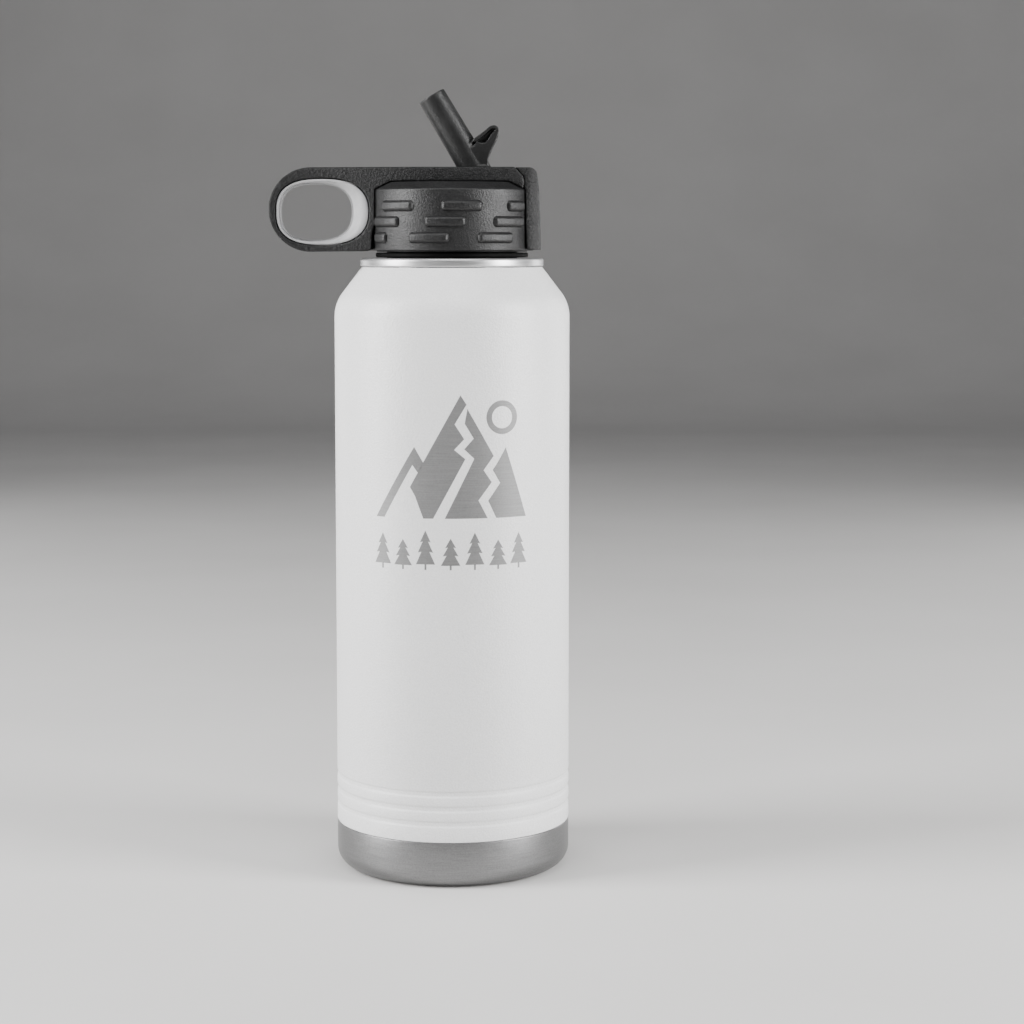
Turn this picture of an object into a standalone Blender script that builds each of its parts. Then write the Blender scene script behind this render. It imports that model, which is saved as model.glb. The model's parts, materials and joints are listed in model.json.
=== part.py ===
"""Insulated water bottle with a screw lid, a side carry loop and a flip-up drinking spout.

Frame: metres, +Z up, origin at the middle of the base on the surface it stands on.
The carry loop points to -X. The spout stands open, as the bottle is drunk from.
"""
import math

import bmesh
import bpy
from mathutils import Matrix, Vector

MM = 0.001
GAP = 0.3 * MM                    # running gap between separate pieces

# Steel flask
BODY_R = 46.0 * MM
SHELL_SHEET = 0.45 * MM
BASE_TOP = 18.2 * MM              # where the bare base meets the coated shell
BASE_FILLET = 7.0 * MM
BASE_SHEET = 0.7 * MM
SLEEVE_R = BODY_R - BASE_SHEET - GAP
SLEEVE_BOTTOM = 7.6 * MM
PRESSING_R = (20.0 * MM, 22.0 * MM, 32.0 * MM, 34.0 * MM)  # pressed ring in the underside
PRESSING_RISE = 1.6 * MM
GROOVE_CENTRES = (25.3 * MM, 31.1 * MM, 36.9 * MM)
GROOVE_HALF = 1.5 * MM
GROOVE_DEPTH = 0.45 * MM
SHOULDER_START = 217.2 * MM
SHOULDER_BLEND = 15.3 * MM        # radius of the bend from wall to cone
SHOULDER_ANGLE = math.radians(52.8)  # cone above the horizontal
SHELL_TOP = 236.5 * MM
VESSEL_R = 39.2 * MM
VESSEL_SHEET = 0.4 * MM
VESSEL_FLOOR = 13.0 * MM
VESSEL_SHOULDER = 210.0 * MM
VESSEL_NECK = 226.0 * MM
CLOSURE_LOW = 6.2 * MM             # underside of the vacuum closure plate
CLOSURE_SHEET = 0.8 * MM
BEAD_LOW = 5.4 * MM
GETTER_LOW = 7.4 * MM
GETTER_R = 5.0 * MM
GETTER_HEIGHT = 2.2 * MM
GETTER_X = 22.0 * MM

# Mouth ring and screw thread
RING_R = 35.8 * MM
RING_BOTTOM = 236.8 * MM
RING_TOP = 240.0 * MM
NECK_BORE_R = 27.2 * MM
NECK_WALL = 1.6 * MM
NECK_BOTTOM = 219.0 * MM
SEAT_R = 25.9 * MM                # smooth land that the plug's seal ring meets
SEAT_TOP = 225.0 * MM
PITCH = 4.8 * MM
THREAD_TURNS = 1.0
THREAD_CREST_IN = 26.0 * MM       # crest of the neck's thread
THREAD_CREST_OUT = 26.7 * MM      # crest of the plug's thread
THREAD_START_IN = 230.0 * MM
THREAD_EMBED = 0.5 * MM

# Lid
GASKET_R = 29.8 * MM
GASKET_BORE_R = 25.8 * MM
PLUG_R = 25.4 * MM
PLUG_BORE_R = 22.6 * MM
PLUG_BOTTOM = 219.5 * MM
PLUG_FLANGE_BOTTOM = 242.4 * MM
PLUG_TOP = 244.6 * MM
SKIRT_R = 32.0 * MM
SKIRT_WALL = 2.0 * MM
SKIRT_BOTTOM = 242.9 * MM
SKIRT_TOP = 266.3 * MM
DECK_R = 27.0 * MM
DECK_TOP = 269.2 * MM
DECK_WALL = 2.2 * MM
TROUGH_FLOOR = 263.2 * MM
TROUGH_HALF = 5.9 * MM
TROUGH_LEFT = -27.4 * MM
TROUGH_RIGHT = 20.9 * MM

# Carry strap, its grip and the end cap
STRAP_TOP = 275.0 * MM
LOOP_CENTRE = (-54.6 * MM, 258.7 * MM)
LOOP_R = 16.3 * MM
LOOP_HALF = 9.0 * MM              # half width at the far end of the loop
BRIDGE_HALF = 16.0 * MM           # half width over the lid
WIDEN_FROM = -64.0 * MM           # the strap widens between these two places
WIDEN_TO = -8.0 * MM
ROOT_OUTLINE = (                  # lower end of the strap beside the lid, seen along +Y
    (-34.0 * MM, 242.6 * MM), (-30.7 * MM, 243.2 * MM), (-30.4 * MM, 249.0 * MM),
    (-28.6 * MM, 256.0 * MM), (-27.0 * MM, 262.0 * MM))
GRIP_CENTRE = (-49.9 * MM, 257.85 * MM)
GRIP_SIZE = (18.3 * MM, 12.9 * MM)
FINGER_CENTRE = (-52.8 * MM, 257.85 * MM)
FINGER_SIZE = (13.9 * MM, 10.85 * MM)
OVAL_POWERS = (2.45, 2.7)         # fullness of the ovals on the lid side and on the far side
SEAM_TOP_X = 24.5 * MM
SEAM_LOW = (27.8 * MM, 271.2 * MM)
TAIL_LOW = 263.3 * MM             # lowest point of the strap at the seam
CAP_TOP = 274.8 * MM
CAP_OUTER = ((33.3 * MM, 271.6 * MM), (34.1 * MM, 265.0 * MM), (34.9 * MM, 243.2 * MM))
CAP_INNER = ((29.2 * MM, 243.2 * MM), (28.5 * MM, 262.0 * MM))  # side that faces the lid
CAP_CORNER_R = 3.2 * MM
CAP_PLAN_R = 6.3 * MM
CAP_HALF = 15.4 * MM
PLAN_LOW = 235.0 * MM             # reach of the tools that trim strap, grip and cap in plan
PLAN_HIGH = 280.0 * MM

# Spout, turning on trunnions about an axis along Y
PIVOT = (12.2 * MM, 0.0, 269.4 * MM)
SPOUT_LEAN = math.radians(31.0)
SPOUT_LENGTH = 39.0 * MM
SPOUT_R = 5.3 * MM                # half width along the hinge
SPOUT_DEPTH = (5.9 * MM, 5.5 * MM)  # half depth across the hinge, at the drum and at the tip
SPOUT_BORE_R = 3.3 * MM
DRUM_R = 6.5 * MM
TRUNNION_R = 2.0 * MM
TRUNNION_HALF = 7.4 * MM
TAB_HALF = 5.3 * MM
TAB_OUTLINE = (                   # thumb lever seen along +Y, from the pivot, in mm
    (-4.6, 13.0), (-3.2, 16.9), (0.2, 19.4), (2.7, 21.5), (4.5, 22.0), (5.8, 21.2), (6.3, 19.8),
    (5.9, 17.6), (3.5, 12.6), (2.3, 9.7), (2.0, 6.1), (0.0, 2.0))

# Straw, its pipe and the vent
STRAW_X = 14.9 * MM
STRAW_R = 4.2 * MM
STRAW_BORE_R = 3.2 * MM
STRAW_BOTTOM = 16.5 * MM
STRAW_TOP = 218.6 * MM
SOCKET_R = 5.7 * MM
SOCKET_BOTTOM = 207.0 * MM
PIPE_R = 5.0 * MM
PIPE_TOP = 259.2 * MM
VENT_X = -12.0 * MM
VENT_PIPE_R = 2.8 * MM
VENT_WAY_R = 1.2 * MM

STEPS = 36                        # facets round the large turned pieces
SMALL_STEPS = 20


def clear_scene():
    for obj in list(bpy.data.objects):
        bpy.data.objects.remove(obj, do_unlink=True)


def material(name, colour, roughness, metallic=0.0):
    mat = bpy.data.materials.new(name)
    mat.use_nodes = True
    shader = mat.node_tree.nodes["Principled BSDF"]
    shader.inputs["Base Color"].default_value = (*colour, 1.0)
    shader.inputs["Roughness"].default_value = roughness
    shader.inputs["Metallic"].default_value = metallic
    mat.diffuse_color = (*colour, 1.0)
    return mat


def finish_object(name, bm, mat, location=(0.0, 0.0, 0.0)):
    """Turn a bmesh into a named object with its faces pointing out."""
    bmesh.ops.recalc_face_normals(bm, faces=bm.faces)
    mesh = bpy.data.meshes.new(name)
    bm.to_mesh(mesh)
    bm.free()
    mesh.shade_smooth()
    mesh.set_sharp_from_angle(angle=math.radians(35.0))
    obj = bpy.data.objects.new(name, mesh)
    obj.location = location
    bpy.context.scene.collection.objects.link(obj)
    if mat is not None:
        mesh.materials.append(mat)
    return obj


def turned(name, profile, mat, steps=STEPS, centre=(0.0, 0.0)):
    """Solid of revolution about a vertical axis. The profile is a closed loop of (r, z)."""
    bm = bmesh.new()
    rings = []
    for radius, height in profile:
        if radius == 0.0:
            rings.append([bm.verts.new((centre[0], centre[1], height))] * steps)
            continue
        ring = []
        for step in range(steps):
            angle = 2.0 * math.pi * step / steps
            x = centre[0] + radius * math.cos(angle)
            y = centre[1] + radius * math.sin(angle)
            ring.append(bm.verts.new((x, y, height)))
        rings.append(ring)
    for index, ring in enumerate(rings):
        upper = rings[(index + 1) % len(rings)]
        if ring[0] is ring[1] and upper[0] is upper[1]:
            continue
        for step in range(steps):
            after = (step + 1) % steps
            corners = []
            for vert in (ring[step], ring[after], upper[after], upper[step]):
                if vert not in corners:
                    corners.append(vert)
            bm.faces.new(corners)
    return finish_object(name, bm, mat)


def prism(name, outline, low, high, axis, mat=None):
    """Extrude a closed outline. axis Y takes (x, z) points, axis Z takes (x, y) points."""
    bm = bmesh.new()
    verts = []
    for u, v in outline:
        verts.append(bm.verts.new((u, low, v) if axis == "Y" else (u, v, low)))
    face = bm.faces.new(verts)
    grown = bmesh.ops.extrude_face_region(bm, geom=[face])
    moved = [item for item in grown["geom"] if isinstance(item, bmesh.types.BMVert)]
    shift = Vector((0.0, high - low, 0.0)) if axis == "Y" else Vector((0.0, 0.0, high - low))
    bmesh.ops.translate(bm, verts=moved, vec=shift)
    return finish_object(name, bm, mat)


def rod(name, radius, start, end, mat=None, steps=SMALL_STEPS):
    """Round bar between two points."""
    start = Vector(start)
    end = Vector(end)
    turn = (end - start).to_track_quat("Z", "Y").to_matrix().to_4x4()
    place = Matrix.Translation((start + end) / 2.0) @ turn
    bm = bmesh.new()
    bmesh.ops.create_cone(bm, cap_ends=True, segments=steps, radius1=radius, radius2=radius,
                          depth=(end - start).length, matrix=place)
    return finish_object(name, bm, mat)


def block(name, low, high, mat=None):
    """Box between two corners."""
    outline = ((low[0], low[1]), (high[0], low[1]), (high[0], high[1]), (low[0], high[1]))
    return prism(name, outline, low[2], high[2], "Z", mat)


def combine(target, tool, operation):
    """Boolean kept as a modifier. The tool itself isn't part of the object."""
    modifier = target.modifiers.new(operation.title() + "_" + tool.name, "BOOLEAN")
    modifier.operation = operation
    modifier.solver = "EXACT"
    modifier.object = tool
    tool.hide_render = True
    tool.display_type = "WIRE"


def cut(target, tool):
    combine(target, tool, "DIFFERENCE")


def join(target, tool):
    combine(target, tool, "UNION")


def keep(target, tool):
    combine(target, tool, "INTERSECT")


def arc(centre, radius, start_deg, end_deg, count):
    """Points on a circle, both ends included."""
    points = []
    for index in range(count + 1):
        angle = math.radians(start_deg + (end_deg - start_deg) * index / count)
        x = centre[0] + radius * math.cos(angle)
        points.append((x, centre[1] + radius * math.sin(angle)))
    return points


def oval(centre, size, count):
    """Rounded oval between an ellipse and a rectangle, fuller on its far side."""
    points = []
    for index in range(count):
        angle = 2.0 * math.pi * index / count
        power = 2.0 / OVAL_POWERS[math.cos(angle) < 0.0]
        across = math.copysign(abs(math.cos(angle)) ** power, math.cos(angle))
        up = math.copysign(abs(math.sin(angle)) ** power, math.sin(angle))
        points.append((centre[0] + size[0] * across, centre[1] + size[1] * up))
    return points


def smooth_step(value, low, high):
    share = min(max((value - low) / (high - low), 0.0), 1.0)
    return share * share * (3.0 - 2.0 * share)


def helix_ridge(name, root_r, crest_r, start_z, base, crest):
    """Right-hand thread ridge for a Boolean union, fading out at both ends."""
    count = int(round(STEPS * THREAD_TURNS))
    bm = bmesh.new()
    rows = []
    for step in range(count + 1):
        turn = step / count * THREAD_TURNS
        fade = min(1.0, (step + 0.4) / 3.0, (count - step + 0.4) / 3.0)
        tip = root_r + (crest_r - root_r) * fade
        inner = root_r + math.copysign(THREAD_EMBED, root_r - crest_r)
        height = start_z + PITCH * turn
        section = ((inner, -base / 2.0), (inner, base / 2.0), (tip, crest / 2.0), (tip, -crest / 2.0))
        angle = 2.0 * math.pi * turn
        row = []
        for radius, rise in section:
            x = radius * math.cos(angle)
            row.append(bm.verts.new((x, radius * math.sin(angle), height + rise)))
        rows.append(row)
    for lower, upper in zip(rows, rows[1:]):
        for side in range(4):
            after = (side + 1) % 4
            bm.faces.new((lower[side], lower[after], upper[after], upper[side]))
    bm.faces.new(rows[0])
    bm.faces.new(rows[-1])
    return finish_object(name, bm, None)


def shell_outline():
    """Outside of the coated shell as (r, z), from its lower edge to its top."""
    points = [(BODY_R, BASE_TOP + GAP)]
    for centre in GROOVE_CENTRES:
        points.append((BODY_R, centre - GROOVE_HALF))
        points.append((BODY_R - GROOVE_DEPTH, centre))
        points.append((BODY_R, centre + GROOVE_HALF))
    bend = arc((BODY_R - SHOULDER_BLEND, SHOULDER_START), SHOULDER_BLEND,
               0.0, 90.0 - math.degrees(SHOULDER_ANGLE), 5)
    points.extend(bend)
    last_r, last_z = points[-1]
    rise = SHELL_TOP - last_z
    points.append((last_r - rise / math.tan(SHOULDER_ANGLE), SHELL_TOP))
    return points


def make_outer_shell(mat):
    outside = shell_outline()
    inside = [(radius - SHELL_SHEET, height) for radius, height in reversed(outside[1:])]
    inside.append((BODY_R - SHELL_SHEET, BASE_TOP + 2.0 * SHELL_SHEET))
    sleeve_in = SLEEVE_R - SHELL_SHEET
    inside.append((sleeve_in, BASE_TOP + 2.0 * SHELL_SHEET))
    inside.append((sleeve_in, SLEEVE_BOTTOM))
    lower = [(SLEEVE_R, SLEEVE_BOTTOM), (SLEEVE_R, BASE_TOP + GAP)]
    return turned("outer_shell", lower + outside + inside, mat)


def make_base_cup(mat):
    """Bare steel cup with a flat middle and a shallow pressed ring in its underside."""
    fillet = arc((BODY_R - BASE_FILLET, BASE_FILLET), BASE_FILLET, -90.0, 0.0, 4)
    inner = BASE_FILLET - BASE_SHEET
    inner_fillet = arc((BODY_R - BASE_FILLET, BASE_FILLET), inner, 0.0, -90.0, 3)
    heights = (0.0, PRESSING_RISE, PRESSING_RISE, 0.0)
    underside = [(0.0, 0.0)] + list(zip(PRESSING_R, heights))
    upper = [(BODY_R, BASE_TOP), (BODY_R - BASE_SHEET, BASE_TOP)]
    floor = []
    for radius, height in reversed(underside):
        floor.append((radius, height + BASE_SHEET))
    return turned("base_cup", underside + fillet + upper + inner_fillet + floor, mat)


def make_vacuum_closure(mat):
    """Plate welded into the shell's sleeve, with the port the flask is pumped out through."""
    rim = SLEEVE_R - SHELL_SHEET - GAP
    sheet = CLOSURE_SHEET
    low = CLOSURE_LOW
    profile = [(1.2 * MM, low + 1.0 * MM), (4.2 * MM, low + 1.0 * MM), (5.2 * MM, low),
               (rim - 3.0 * MM, low), (rim, low + 2.0 * MM), (rim, low + 3.2 * MM),
               (rim - 3.2 * MM, low + sheet), (5.6 * MM, low + sheet),
               (4.6 * MM, low + 1.0 * MM + sheet), (1.2 * MM, low + 1.0 * MM + sheet)]
    return turned("vacuum_closure_plate", profile, mat)


def make_seal_bead(mat):
    """Sealing bead that closes the port, lying in the plate's dimple."""
    low = BEAD_LOW
    profile = [(0.0, low), (2.4 * MM, low + 0.3 * MM), (3.4 * MM, low + 1.0 * MM),
               (3.0 * MM, low + 1.5 * MM), (0.9 * MM, low + 1.5 * MM), (0.8 * MM, low + 2.2 * MM),
               (0.0, low + 2.2 * MM)]
    return turned("vacuum_seal_bead", profile, mat, SMALL_STEPS)


def make_getter(mat):
    """Pill that soaks up leftover gas in the vacuum space."""
    high = GETTER_LOW + GETTER_HEIGHT
    profile = [(0.0, GETTER_LOW), (GETTER_R, GETTER_LOW), (GETTER_R, high), (0.0, high)]
    return turned("getter_pill", profile, mat, SMALL_STEPS, (GETTER_X, 0.0))


def make_inner_vessel(mat):
    """Drawn liner: straight wall, shoulder and neck, open at its lower end."""
    neck_r = NECK_BORE_R + NECK_WALL + GAP + VESSEL_SHEET
    outside = [(VESSEL_R, VESSEL_FLOOR + 4.0 * MM), (VESSEL_R, VESSEL_SHOULDER),
               (VESSEL_R - 1.2 * MM, VESSEL_SHOULDER + 5.0 * MM),
               (neck_r + 1.6 * MM, VESSEL_NECK - 2.0 * MM), (neck_r, VESSEL_NECK + 1.0 * MM),
               (neck_r, RING_BOTTOM - GAP)]
    inside = [(radius - VESSEL_SHEET, height - 0.2 * MM) for radius, height in reversed(outside)]
    return turned("inner_vessel", outside + inside, mat)


def make_inner_bottom(mat):
    """Dished bottom welded to the liner."""
    rim = VESSEL_R
    sheet = VESSEL_SHEET
    top = VESSEL_FLOOR + 3.5 * MM
    profile = [(0.0, VESSEL_FLOOR - sheet), (rim - 4.0 * MM, VESSEL_FLOOR - sheet),
               (rim - 1.2 * MM, VESSEL_FLOOR + 0.6 * MM), (rim, top),
               (rim - sheet, top), (rim - 1.6 * MM, VESSEL_FLOOR + 1.0 * MM),
               (rim - 4.2 * MM, VESSEL_FLOOR), (0.0, VESSEL_FLOOR)]
    return turned("inner_vessel_bottom", profile, mat)


def make_neck_ring(mat):
    """Polished mouth ring with the threaded neck it carries down into the liner."""
    outer = NECK_BORE_R + NECK_WALL
    round_r = 1.0 * MM
    profile = [(SEAT_R + GAP, NECK_BOTTOM), (outer, NECK_BOTTOM), (outer, RING_BOTTOM),
               (RING_R - 0.4 * MM, RING_BOTTOM), (RING_R, RING_BOTTOM + 0.4 * MM)]
    profile.extend(arc((RING_R - round_r, RING_TOP - round_r), round_r, 0.0, 90.0, 2))
    profile.extend([(NECK_BORE_R + 0.7 * MM, RING_TOP), (NECK_BORE_R, RING_TOP - 0.7 * MM),
                    (NECK_BORE_R, SEAT_TOP + 1.3 * MM), (SEAT_R, SEAT_TOP), (SEAT_R, NECK_BOTTOM + GAP)])
    ring = turned("neck_ring", profile, mat)
    join(ring, helix_ridge("neck_thread_tool", NECK_BORE_R, THREAD_CREST_IN,
                           THREAD_START_IN, 2.2 * MM, 1.0 * MM))
    return ring


def make_rim_gasket(mat):
    low = RING_TOP + GAP
    high = PLUG_FLANGE_BOTTOM - GAP
    edge = 0.4 * MM
    profile = [(GASKET_BORE_R, low), (GASKET_R - edge, low), (GASKET_R, low + edge),
               (GASKET_R, high - edge), (GASKET_R - edge, high), (GASKET_BORE_R, high)]
    return turned("rim_gasket", profile, mat)


def make_plug_seal(mat):
    """Soft ring that rides in the plug's groove and meets the neck's smooth land."""
    inner = PLUG_R - 1.2 * MM
    outer = SEAT_R - GAP
    low = PLUG_BOTTOM + 1.3 * MM
    profile = [(inner, low), (outer - 0.5 * MM, low), (outer, low + 0.7 * MM),
               (outer, low + 1.5 * MM), (outer - 0.5 * MM, low + 2.2 * MM), (inner, low + 2.2 * MM)]
    return turned("plug_seal", profile, mat)


def make_thread_plug(mat):
    """Threaded wall of the lid, with the flange that presses the gasket."""
    groove_r = PLUG_R - 1.5 * MM
    groove_low = PLUG_BOTTOM + 1.0 * MM
    groove_high = groove_low + 2.8 * MM
    flange_r = SKIRT_R - SKIRT_WALL - 2.0 * GAP
    profile = [(PLUG_BORE_R, PLUG_BOTTOM), (PLUG_R - 0.4 * MM, PLUG_BOTTOM), (PLUG_R - 0.4 * MM, groove_low),
               (groove_r, groove_low), (groove_r, groove_high), (PLUG_R, groove_high),
               (PLUG_R, PLUG_FLANGE_BOTTOM), (flange_r, PLUG_FLANGE_BOTTOM), (flange_r, PLUG_TOP),
               (PLUG_BORE_R, PLUG_TOP)]
    plug = turned("thread_plug", profile, mat)
    start = THREAD_START_IN - PITCH / 2.0
    join(plug, helix_ridge("plug_thread_tool", PLUG_R, THREAD_CREST_OUT, start, 2.0 * MM, 0.9 * MM))
    return plug


def make_plug_base(mat):
    """Closed bottom of the lid with the straw socket below it and two pipes up to the deck."""
    plate_low = PLUG_BOTTOM + GAP
    plate_high = plate_low + 2.0 * MM
    plate_r = PLUG_BORE_R - GAP
    base = turned("plug_base", [(0.0, plate_low), (plate_r, plate_low), (plate_r, plate_high),
                                (0.0, plate_high)], mat)
    join(base, rod("straw_pipe_tool", PIPE_R, (STRAW_X, 0, plate_low + 1.0 * MM), (STRAW_X, 0, PIPE_TOP)))
    join(base, rod("socket_tool", SOCKET_R, (STRAW_X, 0, SOCKET_BOTTOM), (STRAW_X, 0, plate_low + 1.2 * MM)))
    join(base, rod("vent_pipe_tool", VENT_PIPE_R, (VENT_X, 0, plate_low + 1.0 * MM), (VENT_X, 0, PIPE_TOP)))
    cut(base, rod("straw_way_tool", STRAW_BORE_R, (STRAW_X, 0, SOCKET_BOTTOM - MM), (STRAW_X, 0, PIPE_TOP + MM)))
    cut(base, rod("socket_bore_tool", STRAW_R + GAP, (STRAW_X, 0, SOCKET_BOTTOM - MM),
                  (STRAW_X, 0, STRAW_TOP + GAP)))
    cut(base, rod("vent_way_tool", VENT_WAY_R, (VENT_X, 0, plate_low - MM), (VENT_X, 0, PIPE_TOP + MM)))
    return base


def make_straw(mat):
    profile = [(STRAW_BORE_R, STRAW_BOTTOM), (STRAW_R, STRAW_BOTTOM), (STRAW_R, STRAW_TOP),
               (STRAW_BORE_R, STRAW_TOP)]
    return turned("straw", profile, mat, SMALL_STEPS, (STRAW_X, 0.0))


def lid_outline(clearance=0.0):
    """Outside of the lid body as (r, z), from its lower edge to its axis."""
    return [(SKIRT_R + clearance, SKIRT_BOTTOM), (SKIRT_R + clearance, SKIRT_TOP + clearance / 2.0),
            (DECK_R + clearance, DECK_TOP + clearance), (0.0, DECK_TOP + clearance)]


def trunnion_tool(name):
    reach = TRUNNION_HALF + GAP
    return rod(name, TRUNNION_R + GAP, (PIVOT[0], -reach, PIVOT[2]), (PIVOT[0], reach, PIVOT[2]))


def make_lid_body(mat):
    """Skirt and deck in one moulding, with the trough that the folded spout lies in."""
    inner_r = SKIRT_R - SKIRT_WALL
    under = DECK_TOP - DECK_WALL
    inside = [(0.0, under), (DECK_R - 1.0 * MM, under), (inner_r, SKIRT_TOP - 1.4 * MM),
              (inner_r, SKIRT_BOTTOM)]
    body = turned("lid_body", lid_outline() + inside, mat)
    floor_low = TROUGH_FLOOR - DECK_WALL
    wall = 3.1 * MM
    right = TROUGH_RIGHT + 1.4 * MM
    left = TROUGH_LEFT - 2.2 * MM
    upper = DECK_TOP - 1.7 * MM
    outline = ((left, floor_low), (right, floor_low), (right, upper),
               (TROUGH_LEFT - 0.2 * MM, upper), (left, SKIRT_TOP - GAP))
    half = TROUGH_HALF + wall
    join(body, prism("trough_tool", outline, -half, half, "Y"))
    cut(body, block("trough_way_tool", (TROUGH_LEFT, -TROUGH_HALF, TROUGH_FLOOR),
                    (TROUGH_RIGHT, TROUGH_HALF, DECK_TOP + MM)))
    seat_half = TROUGH_HALF - 0.1 * MM
    cut(body, block("seal_seat_tool", (PIVOT[0] - 3.5 * MM, -seat_half, floor_low - MM),
                    (TROUGH_RIGHT - 0.1 * MM, seat_half, TROUGH_FLOOR + MM)))
    cut(body, rod("vent_seat_tool", 2.3 * MM, (VENT_X, 0, floor_low - MM), (VENT_X, 0, TROUGH_FLOOR + MM)))
    cut(body, trunnion_tool("deck_trunnion_tool"))
    return body


def make_spout_seal(mat):
    """Soft seat under the spout's drum, with the way up from the straw."""
    low = PIPE_TOP + GAP
    high = TROUGH_FLOOR + 0.9 * MM
    half = TROUGH_HALF - 0.4 * MM
    seal = block("spout_seal", (PIVOT[0] - 3.2 * MM, -half, low), (TROUGH_RIGHT - 0.4 * MM, half, high), mat)
    drum_way = DRUM_R + GAP
    cut(seal, rod("seal_drum_tool", drum_way, (PIVOT[0], -0.01, PIVOT[2]), (PIVOT[0], 0.01, PIVOT[2]), None, 40))
    cut(seal, rod("seal_way_tool", STRAW_BORE_R - 0.2 * MM, (STRAW_X, 0, low - MM), (STRAW_X, 0, high + MM)))
    return seal


def make_vent_valve(mat):
    low = PIPE_TOP + GAP
    neck = TROUGH_FLOOR - DECK_WALL - GAP
    top = TROUGH_FLOOR - 0.2 * MM
    profile = [(0.6 * MM, low), (3.4 * MM, low), (3.4 * MM, neck), (2.0 * MM, neck),
               (2.0 * MM, top), (0.6 * MM, top)]
    return turned("vent_valve", profile, mat, SMALL_STEPS, (VENT_X, 0.0))


def strap_plan(margin):
    """Plan outline of strap and loop: it widens smoothly from the loop to the lid."""
    upper = []
    count = 12
    start = LOOP_CENTRE[0] - LOOP_R - 4.0 * MM
    upper.append((start, LOOP_HALF - margin))
    for index in range(count + 1):
        x = WIDEN_FROM + (WIDEN_TO - WIDEN_FROM) * index / count
        half = LOOP_HALF + (BRIDGE_HALF - LOOP_HALF) * smooth_step(x, WIDEN_FROM, WIDEN_TO)
        upper.append((x, half - margin))
    upper.append((SEAM_LOW[0] + 4.0 * MM, BRIDGE_HALF - margin))
    lower = [(x, -y) for x, y in reversed(upper)]
    return upper + lower


def strap_outline():
    """Side view of strap and loop, seen along +Y."""
    top_right = (SEAM_TOP_X, STRAP_TOP)
    loop = arc(LOOP_CENTRE, LOOP_R, 90.0, 270.0, 14)
    tail = [(SEAM_LOW[0], TAIL_LOW), SEAM_LOW]
    return [top_right] + loop + list(ROOT_OUTLINE) + tail


def lid_clearance_tool(name, clearance):
    """Solid that keeps strap and end cap clear of the lid body."""
    outline = lid_outline(clearance)
    outline[0] = (outline[0][0], SKIRT_BOTTOM - 5.0 * MM)
    return turned(name, outline + [(0.0, SKIRT_BOTTOM - 5.0 * MM)], None)


def make_carry_strap(mat):
    wide = BRIDGE_HALF + 2.0 * MM
    strap = prism("carry_strap", strap_outline(), -wide, wide, "Y", mat)
    keep(strap, prism("strap_plan_tool", strap_plan(0.0), PLAN_LOW, PLAN_HIGH, "Z"))
    cut(strap, prism("grip_seat_tool", oval(GRIP_CENTRE, GRIP_SIZE, 36), -wide, wide, "Y"))
    cut(strap, lid_clearance_tool("strap_lid_tool", GAP))
    cut(strap, block("spout_slot_tool", (TROUGH_LEFT, -TROUGH_HALF, DECK_TOP - MM),
                     (TROUGH_RIGHT, TROUGH_HALF, STRAP_TOP + MM)))
    cut(strap, trunnion_tool("strap_trunnion_tool"))
    return strap


def make_loop_grip(mat):
    """Soft lining of the finger loop, thicker towards the lid."""
    wide = BRIDGE_HALF
    size = (GRIP_SIZE[0] - GAP, GRIP_SIZE[1] - GAP)
    grip = prism("loop_grip", oval(GRIP_CENTRE, size, 36), -wide, wide, "Y", mat)
    keep(grip, prism("grip_plan_tool", strap_plan(0.4 * MM), PLAN_LOW, PLAN_HIGH, "Z"))
    cut(grip, prism("finger_tool", oval(FINGER_CENTRE, FINGER_SIZE, 32), -wide - MM, wide + MM, "Y"))
    cut(grip, lid_clearance_tool("grip_lid_tool", GAP))
    return grip


def make_end_cap(mat):
    """Cap that closes the strap's end over the edge of the lid."""
    corner = (CAP_OUTER[0][0] - CAP_CORNER_R, CAP_TOP - CAP_CORNER_R)
    seam = GAP + 0.1 * MM
    outline = [(SEAM_TOP_X + seam, CAP_TOP)]
    outline.extend(arc(corner, CAP_CORNER_R, 90.0, 0.0, 4))
    outline.extend(CAP_OUTER[1:])
    outline.extend(CAP_INNER)
    outline.append((SEAM_LOW[0] + seam, SEAM_LOW[1]))
    cap = prism("strap_end_cap", outline, -CAP_HALF, CAP_HALF, "Y", mat)
    side = (CAP_OUTER[-1][0] - CAP_PLAN_R, CAP_HALF - CAP_PLAN_R)
    plan = [(SEAM_TOP_X - MM, CAP_HALF)] + arc(side, CAP_PLAN_R, 90.0, 0.0, 5)
    plan = plan + [(x, -y) for x, y in reversed(plan)]
    keep(cap, prism("cap_plan_tool", plan, PLAN_LOW, PLAN_HIGH, "Z"))
    cut(cap, lid_clearance_tool("cap_lid_tool", GAP + 0.2 * MM))
    return cap


def tube_tool():
    """Drinking tube from the hinge to its tip: oval in section and slightly tapered."""
    count = 24
    bm = bmesh.new()
    rings = []
    for reach, depth in zip((0.0, SPOUT_LENGTH), SPOUT_DEPTH):
        ring = []
        for step in range(count):
            angle = 2.0 * math.pi * step / count
            point = Vector((depth * math.cos(angle), SPOUT_R * math.sin(angle), reach))
            ring.append(bm.verts.new(Matrix.Rotation(-SPOUT_LEAN, 3, "Y") @ point))
        rings.append(ring)
    for step in range(count):
        after = (step + 1) % count
        bm.faces.new((rings[0][step], rings[0][after], rings[1][after], rings[1][step]))
    bm.faces.new(rings[0])
    bm.faces.new(rings[1])
    return finish_object("tube_tool", bm, None)


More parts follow.
